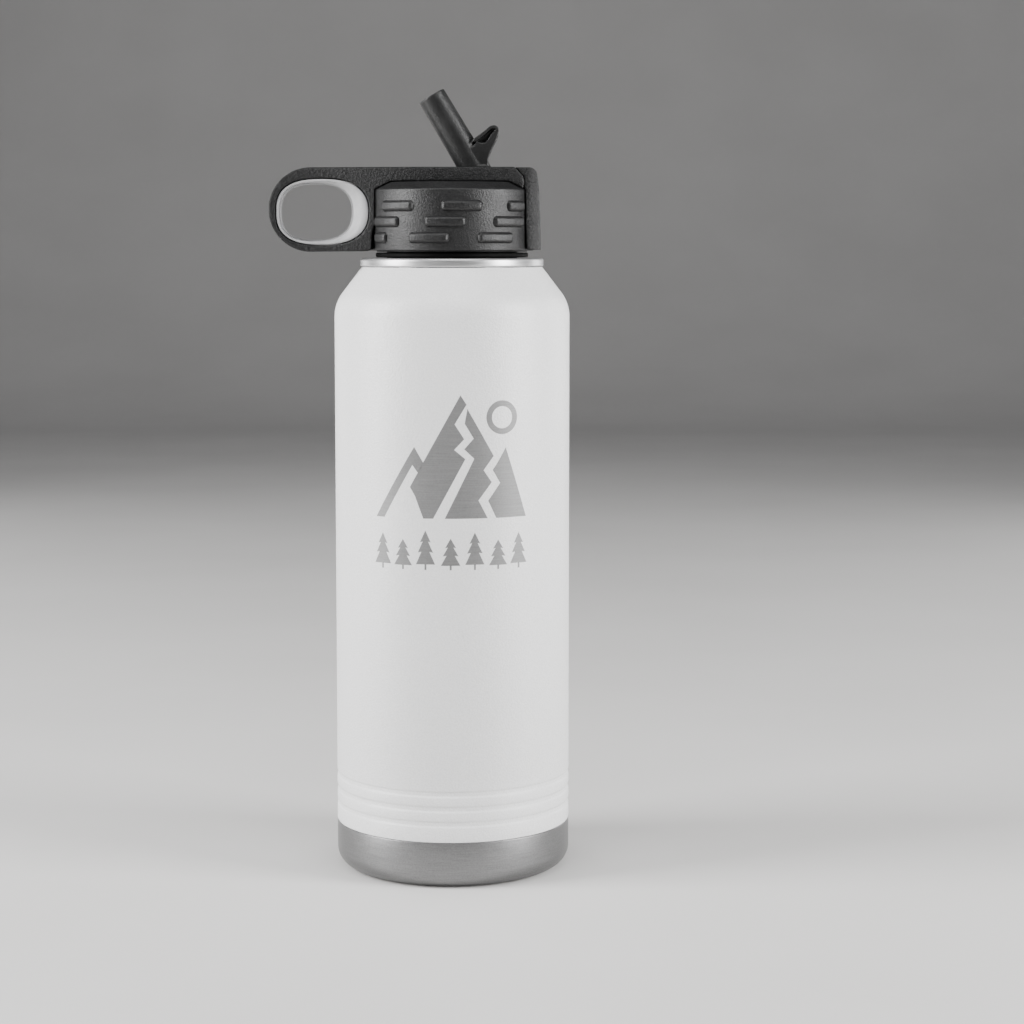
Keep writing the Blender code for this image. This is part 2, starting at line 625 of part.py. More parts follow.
def make_spout(mat):
    """Drinking tube, turning drum with trunnions, and thumb lever in one soft moulding."""
    tip = (-SPOUT_LENGTH * math.sin(SPOUT_LEAN), 0.0, SPOUT_LENGTH * math.cos(SPOUT_LEAN))
    spout = rod("spout", DRUM_R, (0, -SPOUT_R, 0), (0, SPOUT_R, 0), mat, 32)
    tools = [tube_tool(),
             rod("trunnion_bar_tool", TRUNNION_R, (0, -TRUNNION_HALF, 0), (0, TRUNNION_HALF, 0)),
             prism("tab_tool", [(x * MM, z * MM) for x, z in TAB_OUTLINE], -TAB_HALF, TAB_HALF, "Y")]
    for tool in tools:
        join(spout, tool)
    way = Vector(tip)
    bore = rod("spout_way_tool", SPOUT_BORE_R, -0.4 * way, 1.1 * way)
    cut(spout, bore)
    tools.append(bore)
    spout.location = PIVOT
    for tool in tools:
        tool.parent = spout
    return spout


def main():
    clear_scene()
    coat = material("white_coat", (0.80, 0.80, 0.80), 0.55)
    steel = material("satin_steel", (0.42, 0.42, 0.42), 0.34, 1.0)
    polish = material("polished_steel", (0.75, 0.75, 0.76), 0.12, 1.0)
    liner = material("liner_steel", (0.55, 0.55, 0.56), 0.30, 1.0)
    black = material("black_moulding", (0.028, 0.028, 0.030), 0.50)
    dark = material("dark_skirt", (0.040, 0.040, 0.042), 0.45)
    grey = material("grey_grip", (0.45, 0.45, 0.46), 0.60)
    soft = material("black_silicone", (0.020, 0.020, 0.022), 0.55)
    clear = material("milky_plastic", (0.78, 0.80, 0.82), 0.30)
    pellet = material("getter_metal", (0.35, 0.34, 0.33), 0.50, 1.0)
    bead = material("sealing_glass", (0.22, 0.20, 0.18), 0.20)
    make_outer_shell(coat)
    make_base_cup(steel)
    make_vacuum_closure(liner)
    make_seal_bead(bead)
    make_getter(pellet)
    make_inner_vessel(liner)
    make_inner_bottom(liner)
    make_neck_ring(polish)
    make_rim_gasket(soft)
    make_plug_seal(soft)
    make_thread_plug(black)
    make_plug_base(black)
    make_lid_body(dark)
    make_spout_seal(soft)
    make_vent_valve(soft)
    make_carry_strap(black)
    make_loop_grip(grey)
    make_end_cap(black)
    make_spout(soft)
    make_straw(clear)


main()
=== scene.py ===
"""Looks of the insulated water bottle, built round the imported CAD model.

Metres, +Z up. The carry loop points to -X and the camera looks along +Y, slightly down.
"""
import json
import math

import bmesh
import bpy
from mathutils import Matrix, Vector


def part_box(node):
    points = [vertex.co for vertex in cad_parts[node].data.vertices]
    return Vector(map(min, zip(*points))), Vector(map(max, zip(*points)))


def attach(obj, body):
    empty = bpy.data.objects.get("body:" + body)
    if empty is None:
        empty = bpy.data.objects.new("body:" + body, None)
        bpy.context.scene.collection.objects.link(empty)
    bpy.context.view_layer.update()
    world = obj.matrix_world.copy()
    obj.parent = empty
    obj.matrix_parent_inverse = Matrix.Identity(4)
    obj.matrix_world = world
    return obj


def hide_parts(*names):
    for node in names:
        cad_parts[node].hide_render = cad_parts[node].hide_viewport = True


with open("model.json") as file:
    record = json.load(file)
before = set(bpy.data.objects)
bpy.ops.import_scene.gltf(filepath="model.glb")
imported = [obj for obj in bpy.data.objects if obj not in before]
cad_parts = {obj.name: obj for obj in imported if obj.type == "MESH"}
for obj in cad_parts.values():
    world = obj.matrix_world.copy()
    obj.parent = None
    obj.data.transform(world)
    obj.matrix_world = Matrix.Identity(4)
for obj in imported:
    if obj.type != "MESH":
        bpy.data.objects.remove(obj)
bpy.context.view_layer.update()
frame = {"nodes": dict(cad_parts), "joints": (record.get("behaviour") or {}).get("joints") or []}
MM = 0.001
GAP = 0.3 * MM                   # clearance between neighbouring pieces

# Places read from the frame
NODES = frame["nodes"]
JOINTS = {joint["name"]: joint for joint in frame["joints"]}
SHELL_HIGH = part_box("outer_shell")[1]
BASE_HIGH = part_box("base_cup")[1]
RING_LOW, RING_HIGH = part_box("neck_ring")
LINER_LOW, LINER_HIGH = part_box("inner_vessel")
GASKET_LOW, GASKET_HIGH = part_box("rim_gasket")
LID_LOW, LID_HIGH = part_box("lid_body")
PLUG_LOW, PLUG_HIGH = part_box("thread_plug")
SEAL_LOW, SEAL_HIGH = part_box("plug_seal")
PLATE_LOW, PLATE_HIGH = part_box("plug_base")
SEAT_LOW, SEAT_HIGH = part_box("spout_seal")
VENT_LOW, VENT_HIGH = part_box("vent_valve")
STRAP_LOW, STRAP_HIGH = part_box("carry_strap")
GRIP_LOW, GRIP_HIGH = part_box("loop_grip")
CAP_LOW, CAP_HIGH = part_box("strap_end_cap")
STRAW_LOW, STRAW_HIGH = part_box("straw")
PIVOT = Vector(JOINTS["spout_flip"]["pos_m"])

# Driving dimensions of the object
BODY_R = SHELL_HIGH[0]
BASE_TOP = BASE_HIGH[2]
SHELL_SHEET = 0.45 * MM
BASE_SHEET = 0.7 * MM
LINER_SHEET = 0.4 * MM
LINER_SHOULDER_Z = 213.0 * MM
LINER_NECK_Z = 226.5 * MM
BASE_FILLET = 7.0 * MM
GROOVE_CENTRES = (25.3 * MM, 31.1 * MM, 36.9 * MM)
GROOVE_HALF = 1.5 * MM
GROOVE_DEPTH = 0.45 * MM
SHOULDER_START = 217.2 * MM
SHOULDER_BLEND = 15.3 * MM
SHOULDER_ANGLE = math.radians(52.8)
RING_R = RING_HIGH[0]
RING_TOP = RING_HIGH[2]
RING_FLANGE = 3.2 * MM
NECK_BORE_R = 27.2 * MM
NECK_R = 28.8 * MM
SEAT_R = 25.9 * MM
SEAT_TOP = 225.0 * MM
PITCH = 4.8 * MM
THREAD_START = 230.0 * MM
MOUTH_CREST_R = 26.0 * MM
PLUG_CREST_R = 26.7 * MM
PLUG_R = 25.4 * MM
PLUG_BOTTOM = 219.8 * MM
PLUG_FLANGE_BOTTOM = GASKET_HIGH[2] + GAP
SKIRT_R = LID_HIGH[0]
SKIRT_TOP = 266.3 * MM
DECK_R = 27.0 * MM
DECK_WALL = 2.2 * MM
TROUGH_FLOOR = 263.2 * MM
TROUGH_HALF = 5.9 * MM
TROUGH_LEFT = -27.4 * MM
TROUGH_RIGHT = 20.9 * MM
LOOP_R = (STRAP_HIGH[2] - STRAP_LOW[2]) / 2.0
LOOP_CENTRE = (STRAP_LOW[0] + LOOP_R, STRAP_HIGH[2] - LOOP_R)
LOOP_HALF = 9.0 * MM
BRIDGE_HALF = STRAP_HIGH[1]
GRIP_CENTRE = ((GRIP_LOW[0] + GRIP_HIGH[0]) / 2.0, (GRIP_LOW[2] + GRIP_HIGH[2]) / 2.0)
GRIP_SIZE = ((GRIP_HIGH[0] - GRIP_LOW[0]) / 2.0, (GRIP_HIGH[2] - GRIP_LOW[2]) / 2.0)
FINGER_CENTRE = (-52.8 * MM, 257.85 * MM)
FINGER_SIZE = (13.9 * MM, 10.85 * MM)
OVAL_POWERS = (2.45, 2.7)        # fullness of the ovals on the lid side and on the far side
WIDEN_FROM = -64.0 * MM          # the strap widens between these two places along X
WIDEN_TO = -8.0 * MM
PLAN_SPAN = (0.235, 0.280)       # heights between which strap and cap are cut to their plans
SEAM_TOP_X = 24.5 * MM
SEAM_LOW = (27.8 * MM, 271.2 * MM)
TAIL_LOW = 263.3 * MM
ROOT_OUTLINE = ((-34.0 * MM, 242.6 * MM), (-30.7 * MM, 243.2 * MM), (-30.4 * MM, 249.0 * MM),
                (-28.6 * MM, 256.0 * MM), (-27.0 * MM, 262.0 * MM))
CAP_TOP_X = 33.3 * MM
CAP_SIDE = (34.1 * MM, 265.0 * MM)
CAP_INNER = ((29.2 * MM, 243.2 * MM), (28.2 * MM, 264.0 * MM))
CAP_CORNER_R = 3.2 * MM
CAP_PLAN_R = 6.3 * MM
SPOUT_LEAN = math.radians(31.0)
SPOUT_LENGTH = 39.0 * MM
SPOUT_R = 5.3 * MM               # half width along the hinge
SPOUT_DEPTH = (5.9 * MM, 5.55 * MM)  # half depth across the hinge, at the drum and at the tip
SPOUT_BORE_R = 3.3 * MM
DRUM_R = 6.5 * MM
TRUNNION_R = 2.0 * MM
TRUNNION_HALF = 7.4 * MM
TAB_HALF = 5.3 * MM
STRAW_X = (STRAW_LOW[0] + STRAW_HIGH[0]) / 2.0
STRAW_R = (STRAW_HIGH[0] - STRAW_LOW[0]) / 2.0
STRAW_BORE_R = 3.2 * MM
VENT_X = (VENT_LOW[0] + VENT_HIGH[0]) / 2.0
BAR_HALF_ANGLE = math.radians(14.3)
BAR_HALF_HEIGHT = 2.15 * MM
BAR_PROUD = 1.25 * MM
BAR_PERIOD = math.radians(48.4)
BAR_ROWS = ((259.9 * MM, math.radians(8.4)),      # height of each row, and the angle of one of its bars
            (253.9 * MM, math.radians(-3.2)),
            (247.8 * MM, math.radians(-15.0)))
BAR_EDGE_CAP = math.radians(60.6)
BAR_EDGE_STRAP = math.radians(-64.5)
BAR_SHORTEST = math.radians(4.0)
EMBLEM_Z = 155.5 * MM

ROUND = 160                      # facets round the large turned pieces

# Stage, in metres
FLOOR_HALF = 9.0
FLOOR_FRONT = -6.0
FLOOR_BEND = 1.2                 # radius of the sweep behind
FLOOR_BACK = 2.2                 # where the sweep begins
FLOOR_TOP = 4.0
WORLD_COLOUR = (0.92, 0.94, 1.0, 1.0)
WORLD_STRENGTH = 0.09
LIGHT_TARGET = (0.0, 0.0, 0.16)
LIGHTS = (                       # name, place, size, watts
    ("softbox_left", (-1.05, -0.30, 0.54), (0.50, 1.05), 33.0),
    ("softbox_right", (0.98, -0.40, 0.44), (0.42, 0.80), 24.0),
    ("softbox_top", (0.0, -0.60, 1.50), (1.3, 0.9), 14.0),
    ("rim_left", (-0.95, 1.00, 0.40), (0.5, 0.8), 4.0),
    ("rim_right", (1.00, 0.90, 0.32), (0.5, 0.7), 5.5),
)
CAMERA_PLACE = (0.0235, -0.930, 0.2457)
CAMERA_TILT = math.radians(85.0)
CAMERA_LENS = 83.2
CAMERA_SENSOR = 36.0
CAMERA_SHIFT = -0.0602


# ---------------------------------------------------------------- mesh helpers

def finish_mesh(name, bm, mat, sharp=40.0):
    """Turn a bmesh into a shaded object with its faces pointing out."""
    bmesh.ops.recalc_face_normals(bm, faces=bm.faces)
    mesh = bpy.data.meshes.new(name)
    bm.to_mesh(mesh)
    bm.free()
    mesh.shade_smooth()
    mesh.set_sharp_from_angle(angle=math.radians(sharp))
    obj = bpy.data.objects.new(name, mesh)
    bpy.context.scene.collection.objects.link(obj)
    if mat is not None:
        mesh.materials.append(mat)
    return obj


def fillet(corners, count=5):
    """Round the corners of a closed outline. Each corner is (x, y, radius)."""
    points = []
    for index, (x, y, radius) in enumerate(corners):
        if radius <= 0.0:
            points.append((x, y))
            continue
        here = Vector((x, y))
        before = Vector(corners[index - 1][:2]) - here
        after = Vector(corners[(index + 1) % len(corners)][:2]) - here
        half = before.angle(after) / 2.0
        before.normalize()
        after.normalize()
        reach = radius / math.tan(half)
        middle = here + (before + after).normalized() * radius / math.sin(half)
        start = here + before * reach - middle
        sweep = start.angle_signed(here + after * reach - middle)
        for step in range(count + 1):
            turn = Matrix.Rotation(-sweep * step / count, 2)
            point = middle + turn @ start
            points.append((point.x, point.y))
    return points


def arc(centre, radius, start_deg, end_deg, count):
    """Points along an arc, both ends included."""
    points = []
    for index in range(count + 1):
        angle = math.radians(start_deg + (end_deg - start_deg) * index / count)
        points.append((centre[0] + radius * math.cos(angle), centre[1] + radius * math.sin(angle)))
    return points


def oval(centre, size, count):
    """Rounded oval between an ellipse and a rectangle, fuller on its far side."""
    points = []
    for index in range(count):
        angle = 2.0 * math.pi * index / count
        power = 2.0 / OVAL_POWERS[math.cos(angle) < 0.0]
        across = math.copysign(abs(math.cos(angle)) ** power, math.cos(angle))
        up = math.copysign(abs(math.sin(angle)) ** power, math.sin(angle))
        points.append((centre[0] + size[0] * across, centre[1] + size[1] * up))
    return points


def smooth_step(value, low, high):
    """Rises smoothly from 0 at low to 1 at high."""
    share = min(max((value - low) / (high - low), 0.0), 1.0)
    return share * share * (3.0 - 2.0 * share)


def lathe(name, profile, mat, steps=ROUND, centre=(0.0, 0.0), sharp=40.0):
    """Solid of revolution about a vertical axis from a closed loop of (r, z)."""
    bm = bmesh.new()
    rings = []
    for radius, height in profile:
        if radius <= 0.0:
            rings.append([bm.verts.new((centre[0], centre[1], height))] * steps)
            continue
        ring = []
        for step in range(steps):
            angle = 2.0 * math.pi * step / steps
            x = centre[0] + radius * math.cos(angle)
            ring.append(bm.verts.new((x, centre[1] + radius * math.sin(angle), height)))
        rings.append(ring)
    for index, ring in enumerate(rings):
        upper = rings[(index + 1) % len(rings)]
        if ring[0] is ring[1] and upper[0] is upper[1]:
            continue
        for step in range(steps):
            after = (step + 1) % steps
            corners = []
            for vert in (ring[step], ring[after], upper[after], upper[step]):
                if vert not in corners:
                    corners.append(vert)
            bm.faces.new(corners)
    return finish_mesh(name, bm, mat, sharp)


def prism(name, outline, low, high, axis, mat=None):
    """Extrude a closed outline. axis Y takes (x, z) points, axis Z takes (x, y) points."""
    bm = bmesh.new()
    rows = []
    for level in (low, high):
        row = []
        for u, v in outline:
            row.append(bm.verts.new((u, level, v) if axis == "Y" else (u, v, level)))
        rows.append(row)
    count = len(outline)
    bm.faces.new(rows[0])
    bm.faces.new(rows[1])
    for index in range(count):
        after = (index + 1) % count
        bm.faces.new((rows[0][index], rows[0][after], rows[1][after], rows[1][index]))
    return finish_mesh(name, bm, mat)


def rod(name, radius, start, end, mat=None, steps=48):
    """Round bar between two points."""
    start = Vector(start)
    end = Vector(end)
    turn = (end - start).to_track_quat("Z", "Y").to_matrix().to_4x4()
    place = Matrix.Translation((start + end) / 2.0) @ turn
    bm = bmesh.new()
    bmesh.ops.create_cone(bm, cap_ends=True, segments=steps, radius1=radius, radius2=radius,
                          depth=(end - start).length, matrix=place)
    return finish_mesh(name, bm, mat)


def block(name, low, high):
    """Box between two corners."""
    outline = ((low[0], low[1]), (high[0], low[1]), (high[0], high[1]), (low[0], high[1]))
    return prism(name, outline, low[2], high[2], "Z")


def shape(target, steps):
    """Apply Booleans in order. steps is a list of (operation, tool)."""
    for operation, tool in steps:
        modifier = target.modifiers.new(tool.name, "BOOLEAN")
        modifier.operation = operation
        modifier.solver = "EXACT"
        modifier.object = tool
    settle(target)
    for _, tool in steps:
        bpy.data.objects.remove(tool, do_unlink=True)


def settle(target, sharp=40.0):
    """Replace an object's mesh by what its modifiers make of it."""
    graph = bpy.context.evaluated_depsgraph_get()
    mesh = bpy.data.meshes.new_from_object(target.evaluated_get(graph))
    target.modifiers.clear()
    target.data = mesh
    mesh.shade_smooth()
    mesh.set_sharp_from_angle(angle=math.radians(sharp))


def soften(target, voxel, rounds):
    """Even mesh with rounded edges, as a mould leaves them."""
    remesh = target.modifiers.new("even", "REMESH")
    remesh.mode = "VOXEL"
    remesh.voxel_size = voxel
    remesh.use_smooth_shade = True
    smooth = target.modifiers.new("round", "SMOOTH")
    smooth.factor = 0.5
    smooth.iterations = rounds
    settle(target, 180.0)


def helix_ridge(name, root_r, crest_r, start_z, base, crest, mat):
    """One turn of right-hand thread, fading out at both ends."""
    count = ROUND
    runout = 14.0
    embed = math.copysign(0.5 * MM, root_r - crest_r)
    bm = bmesh.new()
    rows = []
    for step in range(count + 1):
        turn = step / count
        fade = min(1.0, (step + 0.6) / runout, (count - step + 0.6) / runout)
        tip = root_r + (crest_r - root_r) * fade
        height = start_z + PITCH * turn
        near = tip + (root_r - tip) * 0.25
        section = ((root_r + embed, -base / 2.0), (root_r + embed, base / 2.0), (near, crest * 0.62),
                   (tip, crest * 0.36), (tip, -crest * 0.36), (near, -crest * 0.62))
        row = []
        for radius, rise in section:
            x = radius * math.cos(2.0 * math.pi * turn)
            row.append(bm.verts.new((x, radius * math.sin(2.0 * math.pi * turn), height + rise)))
        rows.append(row)
    for lower, upper in zip(rows, rows[1:]):
        for side in range(len(lower)):
            after = (side + 1) % len(lower)
            bm.faces.new((lower[side], lower[after], upper[after], upper[side]))
    bm.faces.new(rows[0])
    bm.faces.new(rows[-1])
    return finish_mesh(name, bm, mat)


# ------------------------------------------------------------------- materials

class Nodes:
    """Short hand for building one material's node tree."""

    def __init__(self, name, colour, roughness, metallic=0.0):
        self.mat = bpy.data.materials.new(name)
        self.mat.use_nodes = True
        self.mat.diffuse_color = (*colour, 1.0)
        self.tree = self.mat.node_tree
        self.shader = self.tree.nodes["Principled BSDF"]
        self.shader.inputs["Base Color"].default_value = (*colour, 1.0)
        self.shader.inputs["Roughness"].default_value = roughness
        self.shader.inputs["Metallic"].default_value = metallic
        self.place = self.tree.nodes.new("ShaderNodeTexCoord")

    def add(self, kind, **values):
        node = self.tree.nodes.new(kind)
        for key, value in values.items():
            if hasattr(node, key):
                setattr(node, key, value)
            else:
                node.inputs[key.replace("_", " ").title()].default_value = value
        return node

    def link(self, source, target):
        self.tree.links.new(source, target)

    def stretched(self, scale):
        """Object coordinates multiplied by scale."""
        mapping = self.add("ShaderNodeMapping")
        mapping.inputs["Scale"].default_value = scale
        self.link(self.place.outputs["Object"], mapping.inputs["Vector"])
        return mapping.outputs["Vector"]

    def noise(self, scale, detail=2.0, roughness=0.5, stretch=(1.0, 1.0, 1.0)):
        node = self.add("ShaderNodeTexNoise", scale=scale, detail=detail, roughness=roughness)
        self.link(self.stretched(stretch), node.inputs["Vector"])
        return node.outputs["Fac"]

    def cells(self, scale, stretch=(1.0, 1.0, 1.0)):
        node = self.add("ShaderNodeTexVoronoi", scale=scale)
        node.feature = "SMOOTH_F1"
        node.inputs["Smoothness"].default_value = 0.6
        self.link(self.stretched(stretch), node.inputs["Vector"])
        return node.outputs["Distance"]

    def ramp(self, value, stops):
        """Colour ramp from (position, grey or colour) stops."""
        node = self.add("ShaderNodeValToRGB")
        elements = node.color_ramp.elements
        while len(elements) < len(stops):
            elements.new(0.5)
        for element, (position, colour) in zip(elements, stops):
            element.position = position
            element.color = (*colour, 1.0) if isinstance(colour, tuple) else (colour, colour, colour, 1.0)
        self.link(value, node.inputs["Fac"])
        return node.outputs["Color"]

    def mix(self, first, second, share):
        node = self.add("ShaderNodeMix", data_type="FLOAT")
        node.inputs[0].default_value = share
        self.link(first, node.inputs[2])
        self.link(second, node.inputs[3])
        return node.outputs[0]

    def bump(self, height, distance, strength=1.0, under=None):
        node = self.add("ShaderNodeBump", distance=distance, strength=strength)
        self.link(height, node.inputs["Height"])
        if under is not None:
            self.link(under, node.inputs["Normal"])
        return node.outputs["Normal"]

    def use(self, colour=None, roughness=None, normal=None):
        for value, socket in ((colour, "Base Color"), (roughness, "Roughness"), (normal, "Normal")):
            if value is not None:
                self.link(value, self.shader.inputs[socket])
        return self.mat


def powder_coat():
    """White coat with fine pebbles and a broad, faint unevenness."""
    n = Nodes("white_powder_coat", (0.80, 0.80, 0.80), 0.36)
    n.shader.inputs["Specular IOR Level"].default_value = 0.8
    pebble = n.cells(1400.0)
    fine = n.noise(2600.0, 3.0, 0.6)
    height = n.mix(pebble, fine, 0.45)
    tone = n.ramp(n.noise(1700.0, 2.0), ((0.30, (0.720, 0.720, 0.722)), (0.70, (0.820, 0.820, 0.818))))
    gloss = n.ramp(n.noise(700.0, 3.0), ((0.30, 0.30), (0.72, 0.44)))
    return n.use(tone, gloss, n.bump(height, 0.22 * MM, 0.8))


def satin_steel():
    """Bare base: fine turning lines round the axis, with small specks."""
    n = Nodes("satin_steel", (0.27, 0.27, 0.27), 0.34, 1.0)
    n.shader.inputs["Anisotropic"].default_value = 0.35
    lines = n.noise(90.0, 4.0, 0.65, (1.0, 1.0, 42.0))
    specks = n.noise(1900.0, 3.0, 0.6)
    stops = ((0.30, (0.165, 0.165, 0.168)), (0.70, (0.285, 0.285, 0.284)))
    tone = n.ramp(n.mix(lines, specks, 0.45), stops)
    gloss = n.ramp(lines, ((0.25, 0.28), (0.75, 0.42)))
    fine = n.bump(specks, 0.03 * MM, 0.5)
    return n.use(tone, gloss, n.bump(lines, 0.04 * MM, 0.5, fine))


def polished_steel():
    n = Nodes("polished_steel", (0.52, 0.52, 0.525), 0.36, 0.85)
    lines = n.noise(60.0, 3.0, 0.6, (1.0, 1.0, 30.0))
    gloss = n.ramp(lines, ((0.30, 0.30), (0.75, 0.40)))
    tone = n.ramp(lines, ((0.30, (0.46, 0.46, 0.465)), (0.70, (0.58, 0.58, 0.58))))
    return n.use(tone, gloss, n.bump(lines, 0.01 * MM, 0.4))


def drawn_steel():
    """Liner: duller, with long draw marks along the axis."""
    n = Nodes("drawn_steel", (0.50, 0.50, 0.51), 0.30, 1.0)
    marks = n.noise(500.0, 3.0, 0.6, (1.0, 1.0, 0.03))
    tone = n.ramp(marks, ((0.30, (0.43, 0.43, 0.44)), (0.70, (0.56, 0.56, 0.57))))
    gloss = n.ramp(marks, ((0.30, 0.22), (0.70, 0.36)))
    return n.use(tone, gloss, n.bump(marks, 0.02 * MM, 0.4))


def grained_plastic(name, level, specular, low_gloss, high_gloss, grain, depth):
    """Black moulding with a spark-eroded grain."""
    n = Nodes(name, (level, level, level * 1.04), (low_gloss + high_gloss) / 2.0)
    n.shader.inputs["Specular IOR Level"].default_value = specular
    cells = n.cells(grain)
    fine = n.noise(grain * 2.4, 3.0, 0.6)
    height = n.mix(cells, fine, 0.5)
    dark = (level * 0.3, level * 0.3, level * 0.31)
    light = (level * 2.4, level * 2.4, level * 2.46)
    tone = n.ramp(n.noise(grain * 0.9, 3.0, 0.6), ((0.28, dark), (0.72, light)))
    gloss = n.ramp(n.noise(240.0, 3.0), ((0.30, low_gloss), (0.70, high_gloss)))
    return n.use(tone, gloss, n.bump(height, depth, 0.9))


def grip_rubber():
    n = Nodes("light_grey_rubber", (0.34, 0.34, 0.345), 0.55)
    n.shader.inputs["Sheen Weight"].default_value = 0.05
    tone = n.ramp(n.noise(260.0, 3.0), ((0.30, (0.31, 0.31, 0.315)), (0.70, (0.36, 0.36, 0.365))))
    gloss = n.ramp(n.noise(420.0, 2.0), ((0.30, 0.48), (0.70, 0.62)))
    return n.use(tone, gloss, n.bump(n.noise(2200.0, 3.0, 0.6), 0.05 * MM, 0.5))


def black_silicone(name, level, gloss_low, gloss_high, specular, sheen):
    """Soft black with a faint dusty sheen."""
    n = Nodes(name, (level, level, level * 1.05), (gloss_low + gloss_high) / 2.0)
    n.shader.inputs["Sheen Weight"].default_value = sheen
    n.shader.inputs["Specular IOR Level"].default_value = specular
    tone = n.ramp(n.noise(900.0, 3.0, 0.6), ((0.30, (level * 0.8,) * 3), (0.75, (level * 1.4,) * 3)))
    gloss = n.ramp(n.noise(180.0, 3.0), ((0.30, gloss_low), (0.70, gloss_high)))
    return n.use(tone, gloss, n.bump(n.noise(1300.0, 3.0, 0.6), 0.16 * MM, 0.8))


def milky_plastic():
    n = Nodes("milky_plastic", (0.78, 0.80, 0.82), 0.28)
    n.shader.inputs["Transmission Weight"].default_value = 0.45
    n.shader.inputs["IOR"].default_value = 1.49
    tone = n.ramp(n.noise(60.0, 2.0), ((0.30, (0.74, 0.77, 0.80)), (0.70, (0.82, 0.84, 0.86))))
    return n.use(tone, None, n.bump(n.noise(500.0, 2.0, 0.5, (1.0, 1.0, 0.05)), 0.03 * MM, 0.3))


def laser_mark():
    """Where the coat is burnt off: grey steel with the laser's fine level lines."""
    n = Nodes("laser_marked_steel", (0.19, 0.19, 0.19), 0.50, 0.45)
    lines = n.noise(70.0, 4.0, 0.7, (1.0, 1.0, 60.0))
    specks = n.noise(1500.0, 3.0, 0.6)
    stops = ((0.32, (0.145, 0.145, 0.145)), (0.68, (0.235, 0.235, 0.234)))
    tone = n.ramp(n.mix(lines, specks, 0.4), stops)
    return n.use(tone, n.ramp(specks, ((0.3, 0.42), (0.7, 0.58))), n.bump(lines, 0.05 * MM, 0.6))


def sealing_glass():
    n = Nodes("sealing_glass", (0.22, 0.20, 0.18), 0.15)
    tone = n.ramp(n.noise(400.0, 2.0), ((0.3, (0.18, 0.16, 0.15)), (0.7, (0.26, 0.24, 0.22))))
    return n.use(tone, None, n.bump(n.noise(600.0, 2.0), 0.05 * MM, 0.3))


def sintered_metal():
    n = Nodes("sintered_metal", (0.35, 0.34, 0.33), 0.55, 1.0)
    tone = n.ramp(n.noise(1500.0, 3.0), ((0.3, (0.28, 0.27, 0.26)), (0.7, (0.42, 0.41, 0.40))))
    return n.use(tone, None, n.bump(n.cells(1400.0), 0.1 * MM, 0.6))


def pale_floor():
    n = Nodes("pale_floor", (0.62, 0.61, 0.60), 0.75)
    tone = n.ramp(n.noise(5.0, 4.0), ((0.3, (0.60, 0.59, 0.58)), (0.7, (0.64, 0.63, 0.62))))
    return n.use(tone, None, n.bump(n.noise(300.0, 3.0), 0.1 * MM, 0.3))


# -------------------------------------------------------------- flask and base

def shoulder_outline():
    """Outside of the coated shell from the end of the straight wall up to the mouth ring."""
    centre = (BODY_R - SHOULDER_BLEND, SHOULDER_START)
    points = arc(centre, SHOULDER_BLEND, 0.0, 90.0 - math.degrees(SHOULDER_ANGLE), 16)
    last_r, last_z = points[-1]
    rise = SHELL_HIGH[2] - last_z
    points.append((last_r - rise / math.tan(SHOULDER_ANGLE), SHELL_HIGH[2]))
    return points


def make_shell(mat):
    """Coated outer shell with three rolled grooves and the coat's rounded lower edge."""
    edge_r = 0.25 * MM
    hem = BODY_R - 2.2 * MM
    low = BASE_TOP + 0.12 * MM
    edge = arc((BODY_R - edge_r, low + edge_r), edge_r, -90.0, 0.0, 4)
    outside = list(edge)
    rows = 14
    for centre in GROOVE_CENTRES:
        for index in range(rows + 1):
            share = 2.0 * index / rows - 1.0
            dip = GROOVE_DEPTH * (1.0 - smooth_step(abs(share), 0.35, 1.0))
            outside.append((BODY_R - dip, centre + GROOVE_HALF * share))
    outside.extend(shoulder_outline())
    inside = [(radius - SHELL_SHEET, height) for radius, height in reversed(outside[len(edge):])]
    inside.append((BODY_R - SHELL_SHEET, low + 2.0 * SHELL_SHEET))
    inside.append((hem, low + 2.0 * SHELL_SHEET))
    inside.append((hem, low))
    shell = lathe("powder_coated_shell", outside + inside, mat)
    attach(shell, "bottle")
    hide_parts("outer_shell")


def make_base(mat):
    """Bare base cup with its rounded foot and pressed ring."""
    rise = 1.6 * MM
    ring = ((20.0 * MM, 0.0, 1.5 * MM), (22.0 * MM, rise, 1.2 * MM),
            (32.0 * MM, rise, 1.2 * MM), (34.0 * MM, 0.0, 1.5 * MM))
    underside = [(0.0, 0.0)] + fillet(ring, 4)[1:]
    floor = [(radius, height + BASE_SHEET) for radius, height in reversed(underside)]
    foot = arc((BODY_R - BASE_FILLET, BASE_FILLET), BASE_FILLET, -90.0, 0.0, 16)
    inner_foot = arc((BODY_R - BASE_FILLET, BASE_FILLET), BASE_FILLET - BASE_SHEET, 0.0, -90.0, 10)
    lip = arc((BODY_R - 0.3 * MM, BASE_TOP - 0.3 * MM), 0.3 * MM, 0.0, 90.0, 4)
    upper = [(BODY_R - BASE_SHEET, BASE_TOP)]
    cup = lathe("steel_base_cup", underside + foot + lip + upper + inner_foot + floor, mat)
    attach(cup, "bottle")
    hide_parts("base_cup")


